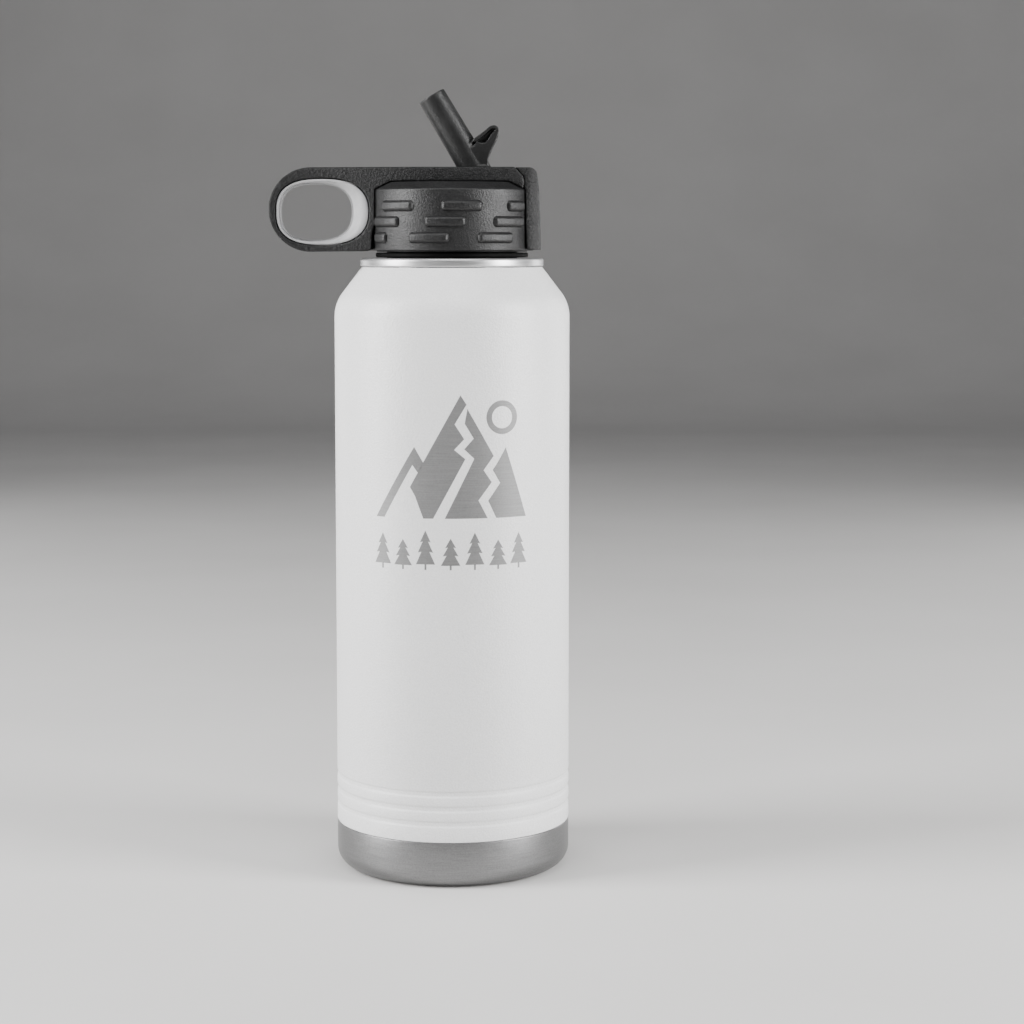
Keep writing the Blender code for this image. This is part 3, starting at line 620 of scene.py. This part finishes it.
def make_mouth(mat):
    """Polished mouth ring, threaded neck and the thread itself."""
    under = RING_TOP - RING_FLANGE
    corners = ((SEAT_R, RING_LOW[2], 0.2 * MM), (NECK_R, RING_LOW[2], 0.3 * MM), (NECK_R, under, 0.0),
               (RING_R, under, 0.5 * MM), (RING_R, RING_TOP, 1.1 * MM), (NECK_BORE_R, RING_TOP, 0.8 * MM),
               (NECK_BORE_R, SEAT_TOP + 1.3 * MM, 0.4 * MM), (SEAT_R, SEAT_TOP, 0.4 * MM))
    ring = lathe("mouth_ring", fillet(corners, 6), mat)
    thread = helix_ridge("mouth_thread", NECK_BORE_R, MOUTH_CREST_R, THREAD_START,
                         2.2 * MM, 1.3 * MM, mat)
    for piece in (ring, thread):
        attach(piece, "bottle")
        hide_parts("neck_ring")


def make_liner(mat):
    """Liner seen through the mouth once the lid is off."""
    radius = LINER_HIGH[0]
    neck = NECK_R + GAP + LINER_SHEET
    low = LINER_LOW[2]
    top = LINER_HIGH[2]
    corners = ((radius - LINER_SHEET, low, 0.0), (radius, low, 0.0), (radius, LINER_SHOULDER_Z, 9.0 * MM),
               (neck, LINER_NECK_Z, 3.0 * MM), (neck, top, 0.0), (neck - LINER_SHEET, top, 0.0),
               (neck - LINER_SHEET, LINER_NECK_Z, 3.5 * MM),
               (radius - LINER_SHEET, LINER_SHOULDER_Z, 8.5 * MM))
    liner = lathe("steel_liner", fillet(corners, 8), mat, 128)
    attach(liner, "bottle")
    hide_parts("inner_vessel")


# ------------------------------------------------------------------------- lid

def make_gasket(mat):
    low = GASKET_LOW[2]
    high = GASKET_HIGH[2]
    inner = 25.8 * MM
    corners = ((inner, low, 0.3 * MM), (GASKET_HIGH[0], low, 0.6 * MM), (GASKET_HIGH[0], high, 0.6 * MM),
               (inner, high, 0.3 * MM))
    gasket = lathe("rim_gasket_ring", fillet(corners, 5), mat, 128)
    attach(gasket, "gasket")
    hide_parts("rim_gasket")


def make_plug_seal(mat):
    low = SEAL_LOW[2]
    high = SEAL_HIGH[2]
    inner = 24.2 * MM
    outer = SEAL_HIGH[0]
    corners = ((inner, low, 0.2 * MM), (outer, low, 0.7 * MM), (outer, high, 0.7 * MM),
               (inner, high, 0.2 * MM))
    seal = lathe("plug_seal_ring", fillet(corners, 5), mat, 128)
    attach(seal, "seal")
    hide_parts("plug_seal")


def make_plug(mat):
    """Threaded wall of the lid and its thread."""
    low = PLUG_LOW[2]
    top = PLUG_HIGH[2]
    bore = 22.6 * MM
    skin = PLUG_R - 0.4 * MM
    groove = PLUG_R - 1.5 * MM
    flange = PLUG_HIGH[0]
    corners = ((bore, low, 0.3 * MM), (skin, low, 0.4 * MM), (skin, low + 1.0 * MM, 0.2 * MM),
               (groove, low + 1.0 * MM, 0.2 * MM), (groove, low + 3.8 * MM, 0.2 * MM),
               (PLUG_R, low + 3.8 * MM, 0.3 * MM), (PLUG_R, PLUG_FLANGE_BOTTOM, 0.3 * MM),
               (flange, PLUG_FLANGE_BOTTOM, 0.3 * MM), (flange, top, 0.3 * MM), (bore, top, 0.3 * MM))
    plug = lathe("threaded_plug", fillet(corners, 3), mat, 128)
    start = THREAD_START - PITCH / 2.0
    thread = helix_ridge("plug_thread", PLUG_R, PLUG_CREST_R, start, 2.0 * MM, 1.2 * MM, mat)
    for piece in (plug, thread):
        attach(piece, "lid")
        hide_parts("thread_plug")


def make_plug_base(mat):
    """Closed bottom of the lid with straw socket, straw pipe and vent pipe."""
    low = PLUG_BOTTOM
    high = low + 2.0 * MM
    radius = PLATE_HIGH[0]
    corners = ((radius, low, 0.4 * MM), (radius, high, 0.4 * MM), (0.0, high, 0.0))
    plate = lathe("plug_bottom", [(0.0, low)] + fillet(corners, 4), mat, 96)
    socket = PLATE_LOW[2]
    pipe_top = PLATE_HIGH[2]
    shape(plate, [
        ("UNION", rod("pipe", 5.0 * MM, (STRAW_X, 0, low + MM), (STRAW_X, 0, pipe_top))),
        ("UNION", rod("socket", 5.7 * MM, (STRAW_X, 0, socket), (STRAW_X, 0, low + 1.2 * MM))),
        ("UNION", rod("vent_pipe", 2.8 * MM, (VENT_X, 0, low + MM), (VENT_X, 0, pipe_top))),
        ("DIFFERENCE", rod("way", STRAW_BORE_R, (STRAW_X, 0, socket - MM), (STRAW_X, 0, pipe_top + MM))),
        ("DIFFERENCE", rod("socket_way", STRAW_R + GAP, (STRAW_X, 0, socket - MM),
                           (STRAW_X, 0, STRAW_HIGH[2] + GAP))),
        ("DIFFERENCE", rod("vent_way", 1.2 * MM, (VENT_X, 0, low - MM), (VENT_X, 0, pipe_top + MM)))])
    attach(plate, "lid")
    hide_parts("plug_base")


def make_straw(mat):
    corners = ((STRAW_BORE_R, STRAW_LOW[2], 0.2 * MM), (STRAW_R, STRAW_LOW[2], 0.2 * MM),
               (STRAW_R, STRAW_HIGH[2], 0.2 * MM), (STRAW_BORE_R, STRAW_HIGH[2], 0.2 * MM))
    straw = lathe("drinking_straw", fillet(corners, 3), mat, 48, (STRAW_X, 0.0))
    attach(straw, "lid")
    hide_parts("straw")


def make_lid_body(mat):
    """Skirt and deck with rounded edges, and the trough for the folded spout."""
    low = LID_LOW[2]
    deck = LID_HIGH[2]
    inner = SKIRT_R - 2.0 * MM
    under = deck - DECK_WALL
    corners = ((SKIRT_R, low, 0.5 * MM), (SKIRT_R, SKIRT_TOP, 0.9 * MM), (DECK_R, deck, 0.8 * MM),
               (0.0, deck, 0.0), (0.0, under, 0.0), (DECK_R - MM, under, 0.0),
               (inner, SKIRT_TOP - 1.4 * MM, 0.0), (inner, low, 0.3 * MM))
    body = lathe("lid_shell", fillet(corners, 5), mat, 180)
    floor_low = TROUGH_FLOOR - DECK_WALL
    left = TROUGH_LEFT - 2.2 * MM
    right = TROUGH_RIGHT + 1.4 * MM
    upper = deck - 1.7 * MM
    outline = ((left, floor_low), (right, floor_low), (right, upper),
               (TROUGH_LEFT - 0.2 * MM, upper), (left, SKIRT_TOP - GAP))
    half = TROUGH_HALF + 3.1 * MM
    seat = TROUGH_HALF - 0.1 * MM
    reach = TRUNNION_HALF + GAP
    vent_bottom = (VENT_X, 0, floor_low - MM)
    vent_top = (VENT_X, 0, TROUGH_FLOOR + MM)
    hinge_ends = ((PIVOT.x, -reach, PIVOT.z), (PIVOT.x, reach, PIVOT.z))
    shape(body, [
        ("UNION", prism("trough", outline, -half, half, "Y")),
        ("DIFFERENCE", block("trough_way", (TROUGH_LEFT, -TROUGH_HALF, TROUGH_FLOOR),
                             (TROUGH_RIGHT, TROUGH_HALF, deck + MM))),
        ("DIFFERENCE", block("seal_seat", (PIVOT.x - 3.5 * MM, -seat, floor_low - MM),
                             (TROUGH_RIGHT - 0.1 * MM, seat, TROUGH_FLOOR + MM))),
        ("DIFFERENCE", rod("vent_seat", 2.3 * MM, vent_bottom, vent_top)),
        ("DIFFERENCE", rod("bearing", TRUNNION_R + GAP, *hinge_ends))])
    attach(body, "lid")
    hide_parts("lid_body")


def bar_height(along, up, half_length):
    """How far a grip bar stands out, from its own middle. Below zero it lies inside the skirt."""
    corner = 1.5 * MM
    across = max(abs(along) - (half_length - corner), 0.0)
    rise = max(abs(up) - (BAR_HALF_HEIGHT - corner), 0.0)
    inside = corner - math.hypot(across, rise)
    if across == 0.0 and rise == 0.0:
        inside = min(half_length - abs(along), BAR_HALF_HEIGHT - abs(up))
    if inside <= 0.0:
        return max(4.0 * inside, -0.4 * MM)
    share = min(inside / (1.5 * MM), 1.0)
    return BAR_PROUD * (1.0 - (1.0 - share) ** 2.4)


def add_bar(bm, start, end, middle_z, turned):
    """One curved grip bar between two angles, measured from the front towards +X."""
    half_length = SKIRT_R * (end - start) / 2.0
    middle = (start + end) / 2.0
    margin = 0.15 * MM
    columns = max(6, int(2.0 * half_length / (0.30 * MM)))
    rows = 18
    top = []
    deep = []
    for column in range(columns + 1):
        along = (half_length + margin) * (2.0 * column / columns - 1.0)
        angle = middle + along / SKIRT_R + (math.pi if turned else 0.0)
        upper = []
        lower = []
        for row in range(rows + 1):
            up = (BAR_HALF_HEIGHT + margin) * (2.0 * row / rows - 1.0)
            radius = SKIRT_R + bar_height(along, up, half_length)
            for store, reach in ((upper, radius), (lower, SKIRT_R - 1.0 * MM)):
                point = (reach * math.sin(angle), -reach * math.cos(angle), middle_z + up)
                store.append(bm.verts.new(point))
        top.append(upper)
        deep.append(lower)
    for column in range(columns):
        for row in range(rows):
            for side in (top, deep):
                bm.faces.new((side[column][row], side[column + 1][row],
                              side[column + 1][row + 1], side[column][row + 1]))
    for column in range(columns):
        for row in (0, rows):
            bm.faces.new((top[column][row], top[column + 1][row],
                          deep[column + 1][row], deep[column][row]))
    for row in range(rows):
        for column in (0, columns):
            bm.faces.new((top[column][row], top[column][row + 1],
                          deep[column][row + 1], deep[column][row]))


def make_grip_bars(mat):
    """Three staggered rows of bars on both sides of the skirt, ending at the strap and its cap."""
    bm = bmesh.new()
    for turned in (False, True):
        low_limit = -BAR_EDGE_CAP if turned else BAR_EDGE_STRAP
        high_limit = -BAR_EDGE_STRAP if turned else BAR_EDGE_CAP
        for middle_z, offset in BAR_ROWS:
            for step in (-2, -1, 0, 1):
                centre = offset + BAR_PERIOD * step
                start = max(centre - BAR_HALF_ANGLE, low_limit)
                end = min(centre + BAR_HALF_ANGLE, high_limit)
                if end - start > BAR_SHORTEST:
                    add_bar(bm, start, end, middle_z, turned)
    bars = finish_mesh("skirt_grip_bars", bm, mat, 50.0)
    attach(bars, "lid")
    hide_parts("lid_body")


def make_spout_seat(mat):
    """Soft seat under the spout's drum and the vent valve beside it."""
    low = SEAT_LOW[2]
    high = SEAT_HIGH[2]
    half = SEAT_HIGH[1]
    seat = block("spout_seat", (SEAT_LOW[0], -half, low), (SEAT_HIGH[0], half, high))
    seat.data.materials.append(mat)
    reach = 10.0 * MM
    shape(seat, [
        ("DIFFERENCE", rod("drum", DRUM_R + GAP, (PIVOT.x, -reach, PIVOT.z),
                           (PIVOT.x, reach, PIVOT.z), None, 96)),
        ("DIFFERENCE", rod("way", 3.0 * MM, (STRAW_X, 0, low - MM), (STRAW_X, 0, high + MM)))])
    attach(seat, "lid")
    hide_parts("spout_seal")
    top = VENT_HIGH[2]
    neck = TROUGH_FLOOR - DECK_WALL - GAP
    wide = (VENT_HIGH[0] - VENT_LOW[0]) / 2.0
    corners = ((0.6 * MM, VENT_LOW[2], 0.0), (wide, VENT_LOW[2], 0.3 * MM), (wide, neck, 0.3 * MM),
               (2.0 * MM, neck, 0.2 * MM), (2.0 * MM, top, 0.5 * MM), (0.6 * MM, top, 0.2 * MM))
    valve = lathe("vent_valve_plug", fillet(corners, 3), mat, 40, (VENT_X, 0.0))
    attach(valve, "lid")
    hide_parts("vent_valve")


# ---------------------------------------------------- strap, grip and end cap

def half_width(x):
    """Half the strap's width: it widens smoothly from the loop to the lid."""
    return LOOP_HALF + (BRIDGE_HALF - LOOP_HALF) * smooth_step(x, WIDEN_FROM, WIDEN_TO)


def strap_plan():
    """Outline of the strap seen from above."""
    count = 40
    upper = [(STRAP_LOW[0] - 4.0 * MM, LOOP_HALF)]
    for index in range(count + 1):
        x = WIDEN_FROM + (WIDEN_TO - WIDEN_FROM) * index / count
        upper.append((x, half_width(x)))
    upper.append((SEAM_LOW[0] + 4.0 * MM, BRIDGE_HALF))
    return upper + [(x, -y) for x, y in reversed(upper)]


def lid_clearance(name, clearance):
    """Solid that keeps strap and cap clear of the lid body."""
    deck = LID_HIGH[2] + clearance
    low = LID_LOW[2] - 5.0 * MM
    outline = [(SKIRT_R + clearance, low), (SKIRT_R + clearance, SKIRT_TOP + clearance / 2.0),
               (DECK_R + clearance, deck), (0.0, deck), (0.0, low)]
    return lathe(name, outline, None, 180)


def make_strap(mat):
    """Side loop and bridge in one moulding."""
    deck = LID_HIGH[2] + GAP
    top = STRAP_HIGH[2]
    outline = [(SEAM_TOP_X, top)] + arc(LOOP_CENTRE, LOOP_R, 90.0, 270.0, 48)
    seam = 0.15 * MM
    outline += list(ROOT_OUTLINE) + [(SEAM_LOW[0] + seam, TAIL_LOW), (SEAM_LOW[0] + seam, SEAM_LOW[1])]
    wide = BRIDGE_HALF + 2.0 * MM
    strap = prism("carry_strap_moulding", outline, -wide, wide, "Y", mat)
    seat = (GRIP_SIZE[0] + GAP, GRIP_SIZE[1] + GAP)
    reach = TRUNNION_HALF + GAP
    slot_low = (TROUGH_LEFT, -TROUGH_HALF, deck - MM)
    slot_high = (TROUGH_RIGHT, TROUGH_HALF, top + MM)
    hinge_ends = ((PIVOT.x, -reach, PIVOT.z), (PIVOT.x, reach, PIVOT.z))
    shape(strap, [
        ("INTERSECT", prism("plan", strap_plan(), *PLAN_SPAN, "Z")),
        ("DIFFERENCE", prism("grip_seat", oval(GRIP_CENTRE, seat, 96), -wide, wide, "Y")),
        ("DIFFERENCE", lid_clearance("lid_room", GAP)),
        ("DIFFERENCE", block("slot", slot_low, slot_high)),
        ("DIFFERENCE", rod("bearing", TRUNNION_R + GAP, *hinge_ends))])
    soften(strap, 0.36 * MM, 9)
    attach(strap, "lid")
    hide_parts("carry_strap")


def grip_section(reach):
    """Front half of the grip's section. reach is its width from the finger hole to the strap.

    Each point is (distance out from the hole's edge, share of the half width towards the front):
    rounded rim, flat front band, a slope that curves inwards, a groove, and the lip in the middle.
    """
    band = min(1.2 * MM, 0.5 * reach)
    lip = min(0.65 * MM, 0.32 * reach)
    points = [(reach, 0.88), (reach, 0.972), (reach - 0.10 * MM, 0.990), (reach - 0.28 * MM, 1.0)]
    start = reach - band
    end = lip + 0.08 * MM
    for step in range(11):
        share = step / 10.0
        points.append((start + (end - start) * share, 0.46 + 0.54 * math.sqrt(1.0 - share * share)))
    points += [(lip + 0.32 * MM, 0.40), (lip + 0.32 * MM, 0.36), (lip, 0.37), (0.12 * MM, 0.36),
               (0.0, 0.30)]
    return points


def make_grip(mat):
    """Soft lining of the loop: its faces curve in from the rims to a lip in the middle."""
    count = 144
    rows = []
    for outer, inner in zip(oval(GRIP_CENTRE, GRIP_SIZE, count), oval(FINGER_CENTRE, FINGER_SIZE, count)):
        outer = Vector(outer)
        inner = Vector(inner)
        outward = (outer - inner).normalized()
        section = grip_section((outer - inner).length)
        points = []
        for side, part in ((-1.0, section), (1.0, section[::-1])):
            for distance, share in part:
                spot = inner + outward * distance
                points.append((spot.x, side * share * (half_width(spot.x) - 0.5 * MM), spot.y))
        rows.append(points)
    bm = bmesh.new()
    rings = [[bm.verts.new(point) for point in points] for points in rows]
    for index, ring in enumerate(rings):
        following = rings[(index + 1) % count]
        for step in range(len(ring)):
            after = (step + 1) % len(ring)
            bm.faces.new((ring[step], ring[after], following[after], following[step]))
    grip = finish_mesh("finger_loop_grip", bm, mat, 50.0)
    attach(grip, "lid")
    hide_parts("loop_grip")


def make_end_cap(mat):
    """Cap at the strap's end, rounded towards its outer edges."""
    top = CAP_HIGH[2]
    low = CAP_LOW[2]
    seam = GAP + 0.1 * MM
    corner = (CAP_TOP_X - CAP_CORNER_R, top - CAP_CORNER_R)
    outline = [(SEAM_TOP_X + seam, top)] + arc(corner, CAP_CORNER_R, 90.0, 0.0, 10)
    outline += [CAP_SIDE, (CAP_HIGH[0], low)] + list(CAP_INNER)
    outline.append((SEAM_LOW[0] + seam, SEAM_LOW[1]))
    half = CAP_HIGH[1]
    cap = prism("strap_end_cap_moulding", outline, -half, half, "Y", mat)
    side = (CAP_HIGH[0] - CAP_PLAN_R, half - CAP_PLAN_R)
    plan = [(SEAM_TOP_X - MM, half)] + arc(side, CAP_PLAN_R, 90.0, 0.0, 16)
    plan += [(x, -y) for x, y in reversed(plan)]
    shape(cap, [("INTERSECT", prism("plan", plan, *PLAN_SPAN, "Z")),
                ("DIFFERENCE", lid_clearance("lid_room", 0.5 * MM))])
    soften(cap, 0.30 * MM, 4)
    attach(cap, "lid")
    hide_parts("strap_end_cap")


# ----------------------------------------------------------------------- spout

def spout_tube():
    """Drinking tube from the hinge to its tip: oval in section and slightly tapered."""
    count = 96
    turn = Matrix.Translation(PIVOT) @ Matrix.Rotation(-SPOUT_LEAN, 4, "Y")
    bm = bmesh.new()
    rings = []
    for reach, depth in zip((0.0, SPOUT_LENGTH), SPOUT_DEPTH):
        ring = []
        for step in range(count):
            angle = 2.0 * math.pi * step / count
            point = Vector((depth * math.cos(angle), SPOUT_R * math.sin(angle), reach))
            ring.append(bm.verts.new(turn @ point))
        rings.append(ring)
    for step in range(count):
        after = (step + 1) % count
        bm.faces.new((rings[0][step], rings[0][after], rings[1][after], rings[1][step]))
    bm.faces.new(rings[0])
    bm.faces.new(rings[1])
    bmesh.ops.triangulate(bm, faces=bm.faces[:])
    return finish_mesh("tube", bm, None)


def lever_part(name, corners, half):
    """Part of the thumb lever. Corners are (x, z, radius) from the pivot, in mm."""
    points = [(PIVOT.x + x * MM, PIVOT.z + z * MM) for x, z in fillet(corners, 5)]
    return prism(name, points, -half, half, "Y")


def make_spout(mat):
    """Drinking tube, drum with trunnions, and the thumb lever: a curved plate on a slimmer stem."""
    axis = Vector((-math.sin(SPOUT_LEAN), 0.0, math.cos(SPOUT_LEAN)))
    tip = PIVOT + axis * SPOUT_LENGTH
    across = Vector((0.0, 1.0, 0.0))
    stem = ((-4.6, 13.0, 0.0), (-2.4, 15.6, 0.0), (1.0, 15.0, 1.6), (2.9, 18.2, 3.0), (4.9, 20.5, 0.6),
            (6.3, 20.2, 0.5), (5.9, 17.6, 4.0), (3.5, 12.6, 6.0), (2.3, 9.7, 5.0), (2.0, 6.1, 0.0),
            (0.0, 2.0, 0.0))
    web = ((-4.0, 13.6, 0.0), (-2.8, 16.6, 0.0), (2.9, 21.2, 0.0), (5.6, 20.8, 0.0), (3.4, 15.0, 0.0),
           (0.0, 12.0, 0.0))
    plate = ((-4.4, 15.2, 0.0), (-3.4, 16.9, 0.0), (0.4, 19.6, 6.0), (2.6, 21.6, 3.0), (4.6, 22.1, 1.2),
             (6.0, 21.2, 0.8), (6.35, 19.6, 0.4), (5.2, 19.9, 0.4), (4.5, 20.9, 0.8), (3.0, 20.5, 2.0),
             (0.8, 18.5, 6.0), (-3.0, 15.6, 0.0))
    drum = across * (SPOUT_R + 0.03 * MM)     # a little wider, so that its ends miss the tube's sides
    hinge = across * TRUNNION_HALF
    bore_low = PIVOT - axis * 0.016
    bore_high = tip + axis * 0.01
    spout = rod("drinking_spout", DRUM_R, PIVOT - drum, PIVOT + drum, mat, 96)
    shape(spout, [
        ("UNION", spout_tube()),
        ("UNION", rod("trunnions", TRUNNION_R, PIVOT - hinge, PIVOT + hinge)),
        ("UNION", lever_part("stem", stem, 4.7 * MM)),
        ("UNION", lever_part("web", web, 2.6 * MM)),
        ("UNION", lever_part("plate", plate, TAB_HALF)),
        ("DIFFERENCE", rod("way", SPOUT_BORE_R, bore_low, bore_high, None, 64))])
    soften(spout, 0.25 * MM, 12)
    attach(spout, "spout")
    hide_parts("spout")


# ---------------------------------------------------------------------- emblem

def ring_faces(middle, inner, outer, count):
    """Quads of a flat ring."""
    quads = []
    for step in range(count):
        start = 2.0 * math.pi * step / count
        end = 2.0 * math.pi * (step + 1) / count
        quad = []
        for radius, angle in ((inner, start), (outer, start), (outer, end), (inner, end)):
            quad.append((middle[0] + radius * math.cos(angle), middle[1] + radius * math.sin(angle)))
        quads.append(quad)
    return quads


def conifer(middle, low, height, width):
    """Outline of a three-tier tree on a short trunk."""
    side = []
    tiers = ((0.00, 0.10), (0.14, 0.10), (0.14, 1.00), (0.46, 0.42), (0.44, 0.80), (0.72, 0.28),
             (0.70, 0.56), (1.00, 0.0))
    for up, out in tiers:
        side.append((out * width / 2.0, low + up * height))
    left = [(-x, z) for x, z in reversed(side[:-1])]
    return [(middle + x, z) for x, z in side + left]


def emblem_shapes():
    """Plain mountain and tree line in millimetres about the emblem's middle."""
    shapes = [
        [(-30.0, -13.0), (-13.5, 14.0), (-9.4, 7.2), (-12.2, 4.4), (-14.2, 7.2), (-26.2, -13.0)],
        [(-10.0, -13.0), (-6.2, -13.0), (6.0, 9.5), (1.8, 13.0), (5.6, 17.0), (2.0, 22.6), (6.5, 30.0),
         (4.2, 33.5), (-15.2, -1.2), (-13.2, -4.6)],
        [(6.8, 28.4), (17.0, 10.5), (13.0, 5.2), (16.2, 0.6), (11.0, -6.2), (14.6, -13.0), (-1.8, -13.0),
         (9.4, 9.6), (5.6, 13.2), (9.2, 17.2), (5.8, 22.8)],
        [(18.6, 8.0), (22.0, 13.6), (31.0, -13.0), (18.0, -13.0), (14.8, -6.4), (19.6, 0.2), (16.6, 5.2)],
    ]
    quads = ring_faces((20.5, 25.0), 4.2, 6.4, 40)
    trees = ((-27.0, 13.5), (-18.2, 11.5), (-9.2, 15.0), (0.4, 12.0), (9.6, 14.2), (18.8, 11.2),
             (27.6, 13.6))
    for middle, height in trees:
        shapes.append(conifer(middle, -32.5, height, 7.4))
    return shapes + quads


def make_emblem(mat):
    """Flat shapes wrapped on the wall, where the coat is lasered away."""
    bm = bmesh.new()
    for outline in emblem_shapes():
        bm.faces.new([bm.verts.new((x * MM, z * MM, 0.0)) for x, z in outline])
    bmesh.ops.remove_doubles(bm, verts=bm.verts, dist=0.001 * MM)
    cut_step = 1.5 * MM
    cuts = 22
    for index in range(-cuts, cuts + 1):
        geometry = bm.verts[:] + bm.edges[:] + bm.faces[:]
        bmesh.ops.bisect_plane(bm, geom=geometry, dist=1e-9, plane_co=(index * cut_step, 0.0, 0.0),
                               plane_no=(1.0, 0.0, 0.0))
    bmesh.ops.triangulate(bm, faces=bm.faces[:])
    grown = bmesh.ops.extrude_face_region(bm, geom=bm.faces[:])
    raised = {item for item in grown["geom"] if isinstance(item, bmesh.types.BMVert)}
    for vert in bm.verts:
        radius = BODY_R + (0.02 * MM if vert in raised else -0.15 * MM)
        angle = vert.co.x / BODY_R
        vert.co = Vector((radius * math.sin(angle), -radius * math.cos(angle), EMBLEM_Z + vert.co.y))
    emblem = finish_mesh("mountain_emblem", bm, mat, 30.0)
    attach(emblem, "bottle")


# ----------------------------------------------------------------------- stage

def area_light(name, place, size, power):
    """Rectangular softbox aimed at LIGHT_TARGET."""
    data = bpy.data.lights.new(name, "AREA")
    data.shape = "RECTANGLE"
    data.size = size[0]
    data.size_y = size[1]
    data.energy = power
    lamp = bpy.data.objects.new(name, data)
    lamp.location = place
    lamp.rotation_euler = (Vector(LIGHT_TARGET) - Vector(place)).to_track_quat("-Z", "Y").to_euler()
    bpy.context.scene.collection.objects.link(lamp)


def make_stage():
    """Pale floor that sweeps up behind, faint light all round, and the softboxes."""
    centre = (FLOOR_BACK, FLOOR_BEND)
    outline = [(FLOOR_FRONT, 0.0), (FLOOR_BACK, 0.0)]
    outline += arc(centre, FLOOR_BEND, -90.0, 0.0, 24)[1:]
    outline.append((FLOOR_BACK + FLOOR_BEND, FLOOR_TOP))
    bm = bmesh.new()
    rows = [[bm.verts.new((x, y, z)) for y, z in outline] for x in (-FLOOR_HALF, FLOOR_HALF)]
    for index in range(len(outline) - 1):
        bm.faces.new((rows[0][index], rows[1][index], rows[1][index + 1], rows[0][index + 1]))
    floor = finish_mesh("studio_floor", bm, pale_floor())
    world = bpy.data.worlds.new("studio")
    world.use_nodes = True
    backdrop = world.node_tree.nodes["Background"]
    backdrop.inputs["Color"].default_value = WORLD_COLOUR
    backdrop.inputs["Strength"].default_value = WORLD_STRENGTH
    bpy.context.scene.world = world
    for light in LIGHTS:
        area_light(*light)


def make_camera():
    """Camera at the lid's height, looking slightly down."""
    data = bpy.data.cameras.new("camera")
    data.sensor_width = CAMERA_SENSOR
    data.lens = CAMERA_LENS
    data.shift_y = CAMERA_SHIFT
    data.clip_start = 0.01
    camera = bpy.data.objects.new("camera", data)
    camera.location = CAMERA_PLACE
    camera.rotation_euler = (CAMERA_TILT, 0.0, 0.0)
    bpy.context.scene.collection.objects.link(camera)
    bpy.context.scene.camera = camera


def give(mat, *names):
    """Put a material on CAD nodes that stay as they are."""
    for name in names:
        slots = NODES[name].data.materials
        slots.clear()
        slots.append(mat)


def main():
    make_camera()
    make_stage()
    steel = satin_steel()
    polish = polished_steel()
    liner = drawn_steel()
    # The lid body's plastic gets a slightly lighter black than the strap's. This is partly its own black
    # and partly painted light for the light the skirt catches from the front and top.
    lid_black_with_painted_light = grained_plastic("lid_black_with_painted_light", 0.007, 0.38, 0.36, 0.46, 1500.0, 0.20 * MM)
    strap_black = grained_plastic("strap_black", 0.005, 0.28, 0.40, 0.54, 1150.0, 0.45 * MM)
    # The plug's and the seals' blacks are made darker than the other black parts. This is partly their
    # own black and partly painted shade for the dark gap under the skirt.
    plug_black_and_gap_shade = grained_plastic("plug_black_and_gap_shade", 0.004, 0.25, 0.44, 0.56, 1500.0, 0.05 * MM)
    seal_black_and_gap_shade = black_silicone("seal_black_and_gap_shade", 0.002, 0.60, 0.72, 0.08, 0.0)
    spout_black = black_silicone("spout_black", 0.006, 0.36, 0.48, 0.42, 0.02)
    make_shell(powder_coat())
    make_emblem(laser_mark())
    make_base(steel)
    make_mouth(polish)
    make_liner(liner)
    make_gasket(seal_black_and_gap_shade)
    make_plug_seal(seal_black_and_gap_shade)
    make_plug(plug_black_and_gap_shade)
    make_plug_base(plug_black_and_gap_shade)
    make_straw(milky_plastic())
    make_lid_body(lid_black_with_painted_light)
    make_grip_bars(lid_black_with_painted_light)
    make_spout_seat(seal_black_and_gap_shade)
    make_strap(strap_black)
    make_grip(grip_rubber())
    make_end_cap(strap_black)
    make_spout(spout_black)
    give(liner, "vacuum_closure_plate", "inner_vessel_bottom")
    give(sealing_glass(), "vacuum_seal_bead")
    give(sintered_metal(), "getter_pill")


main()
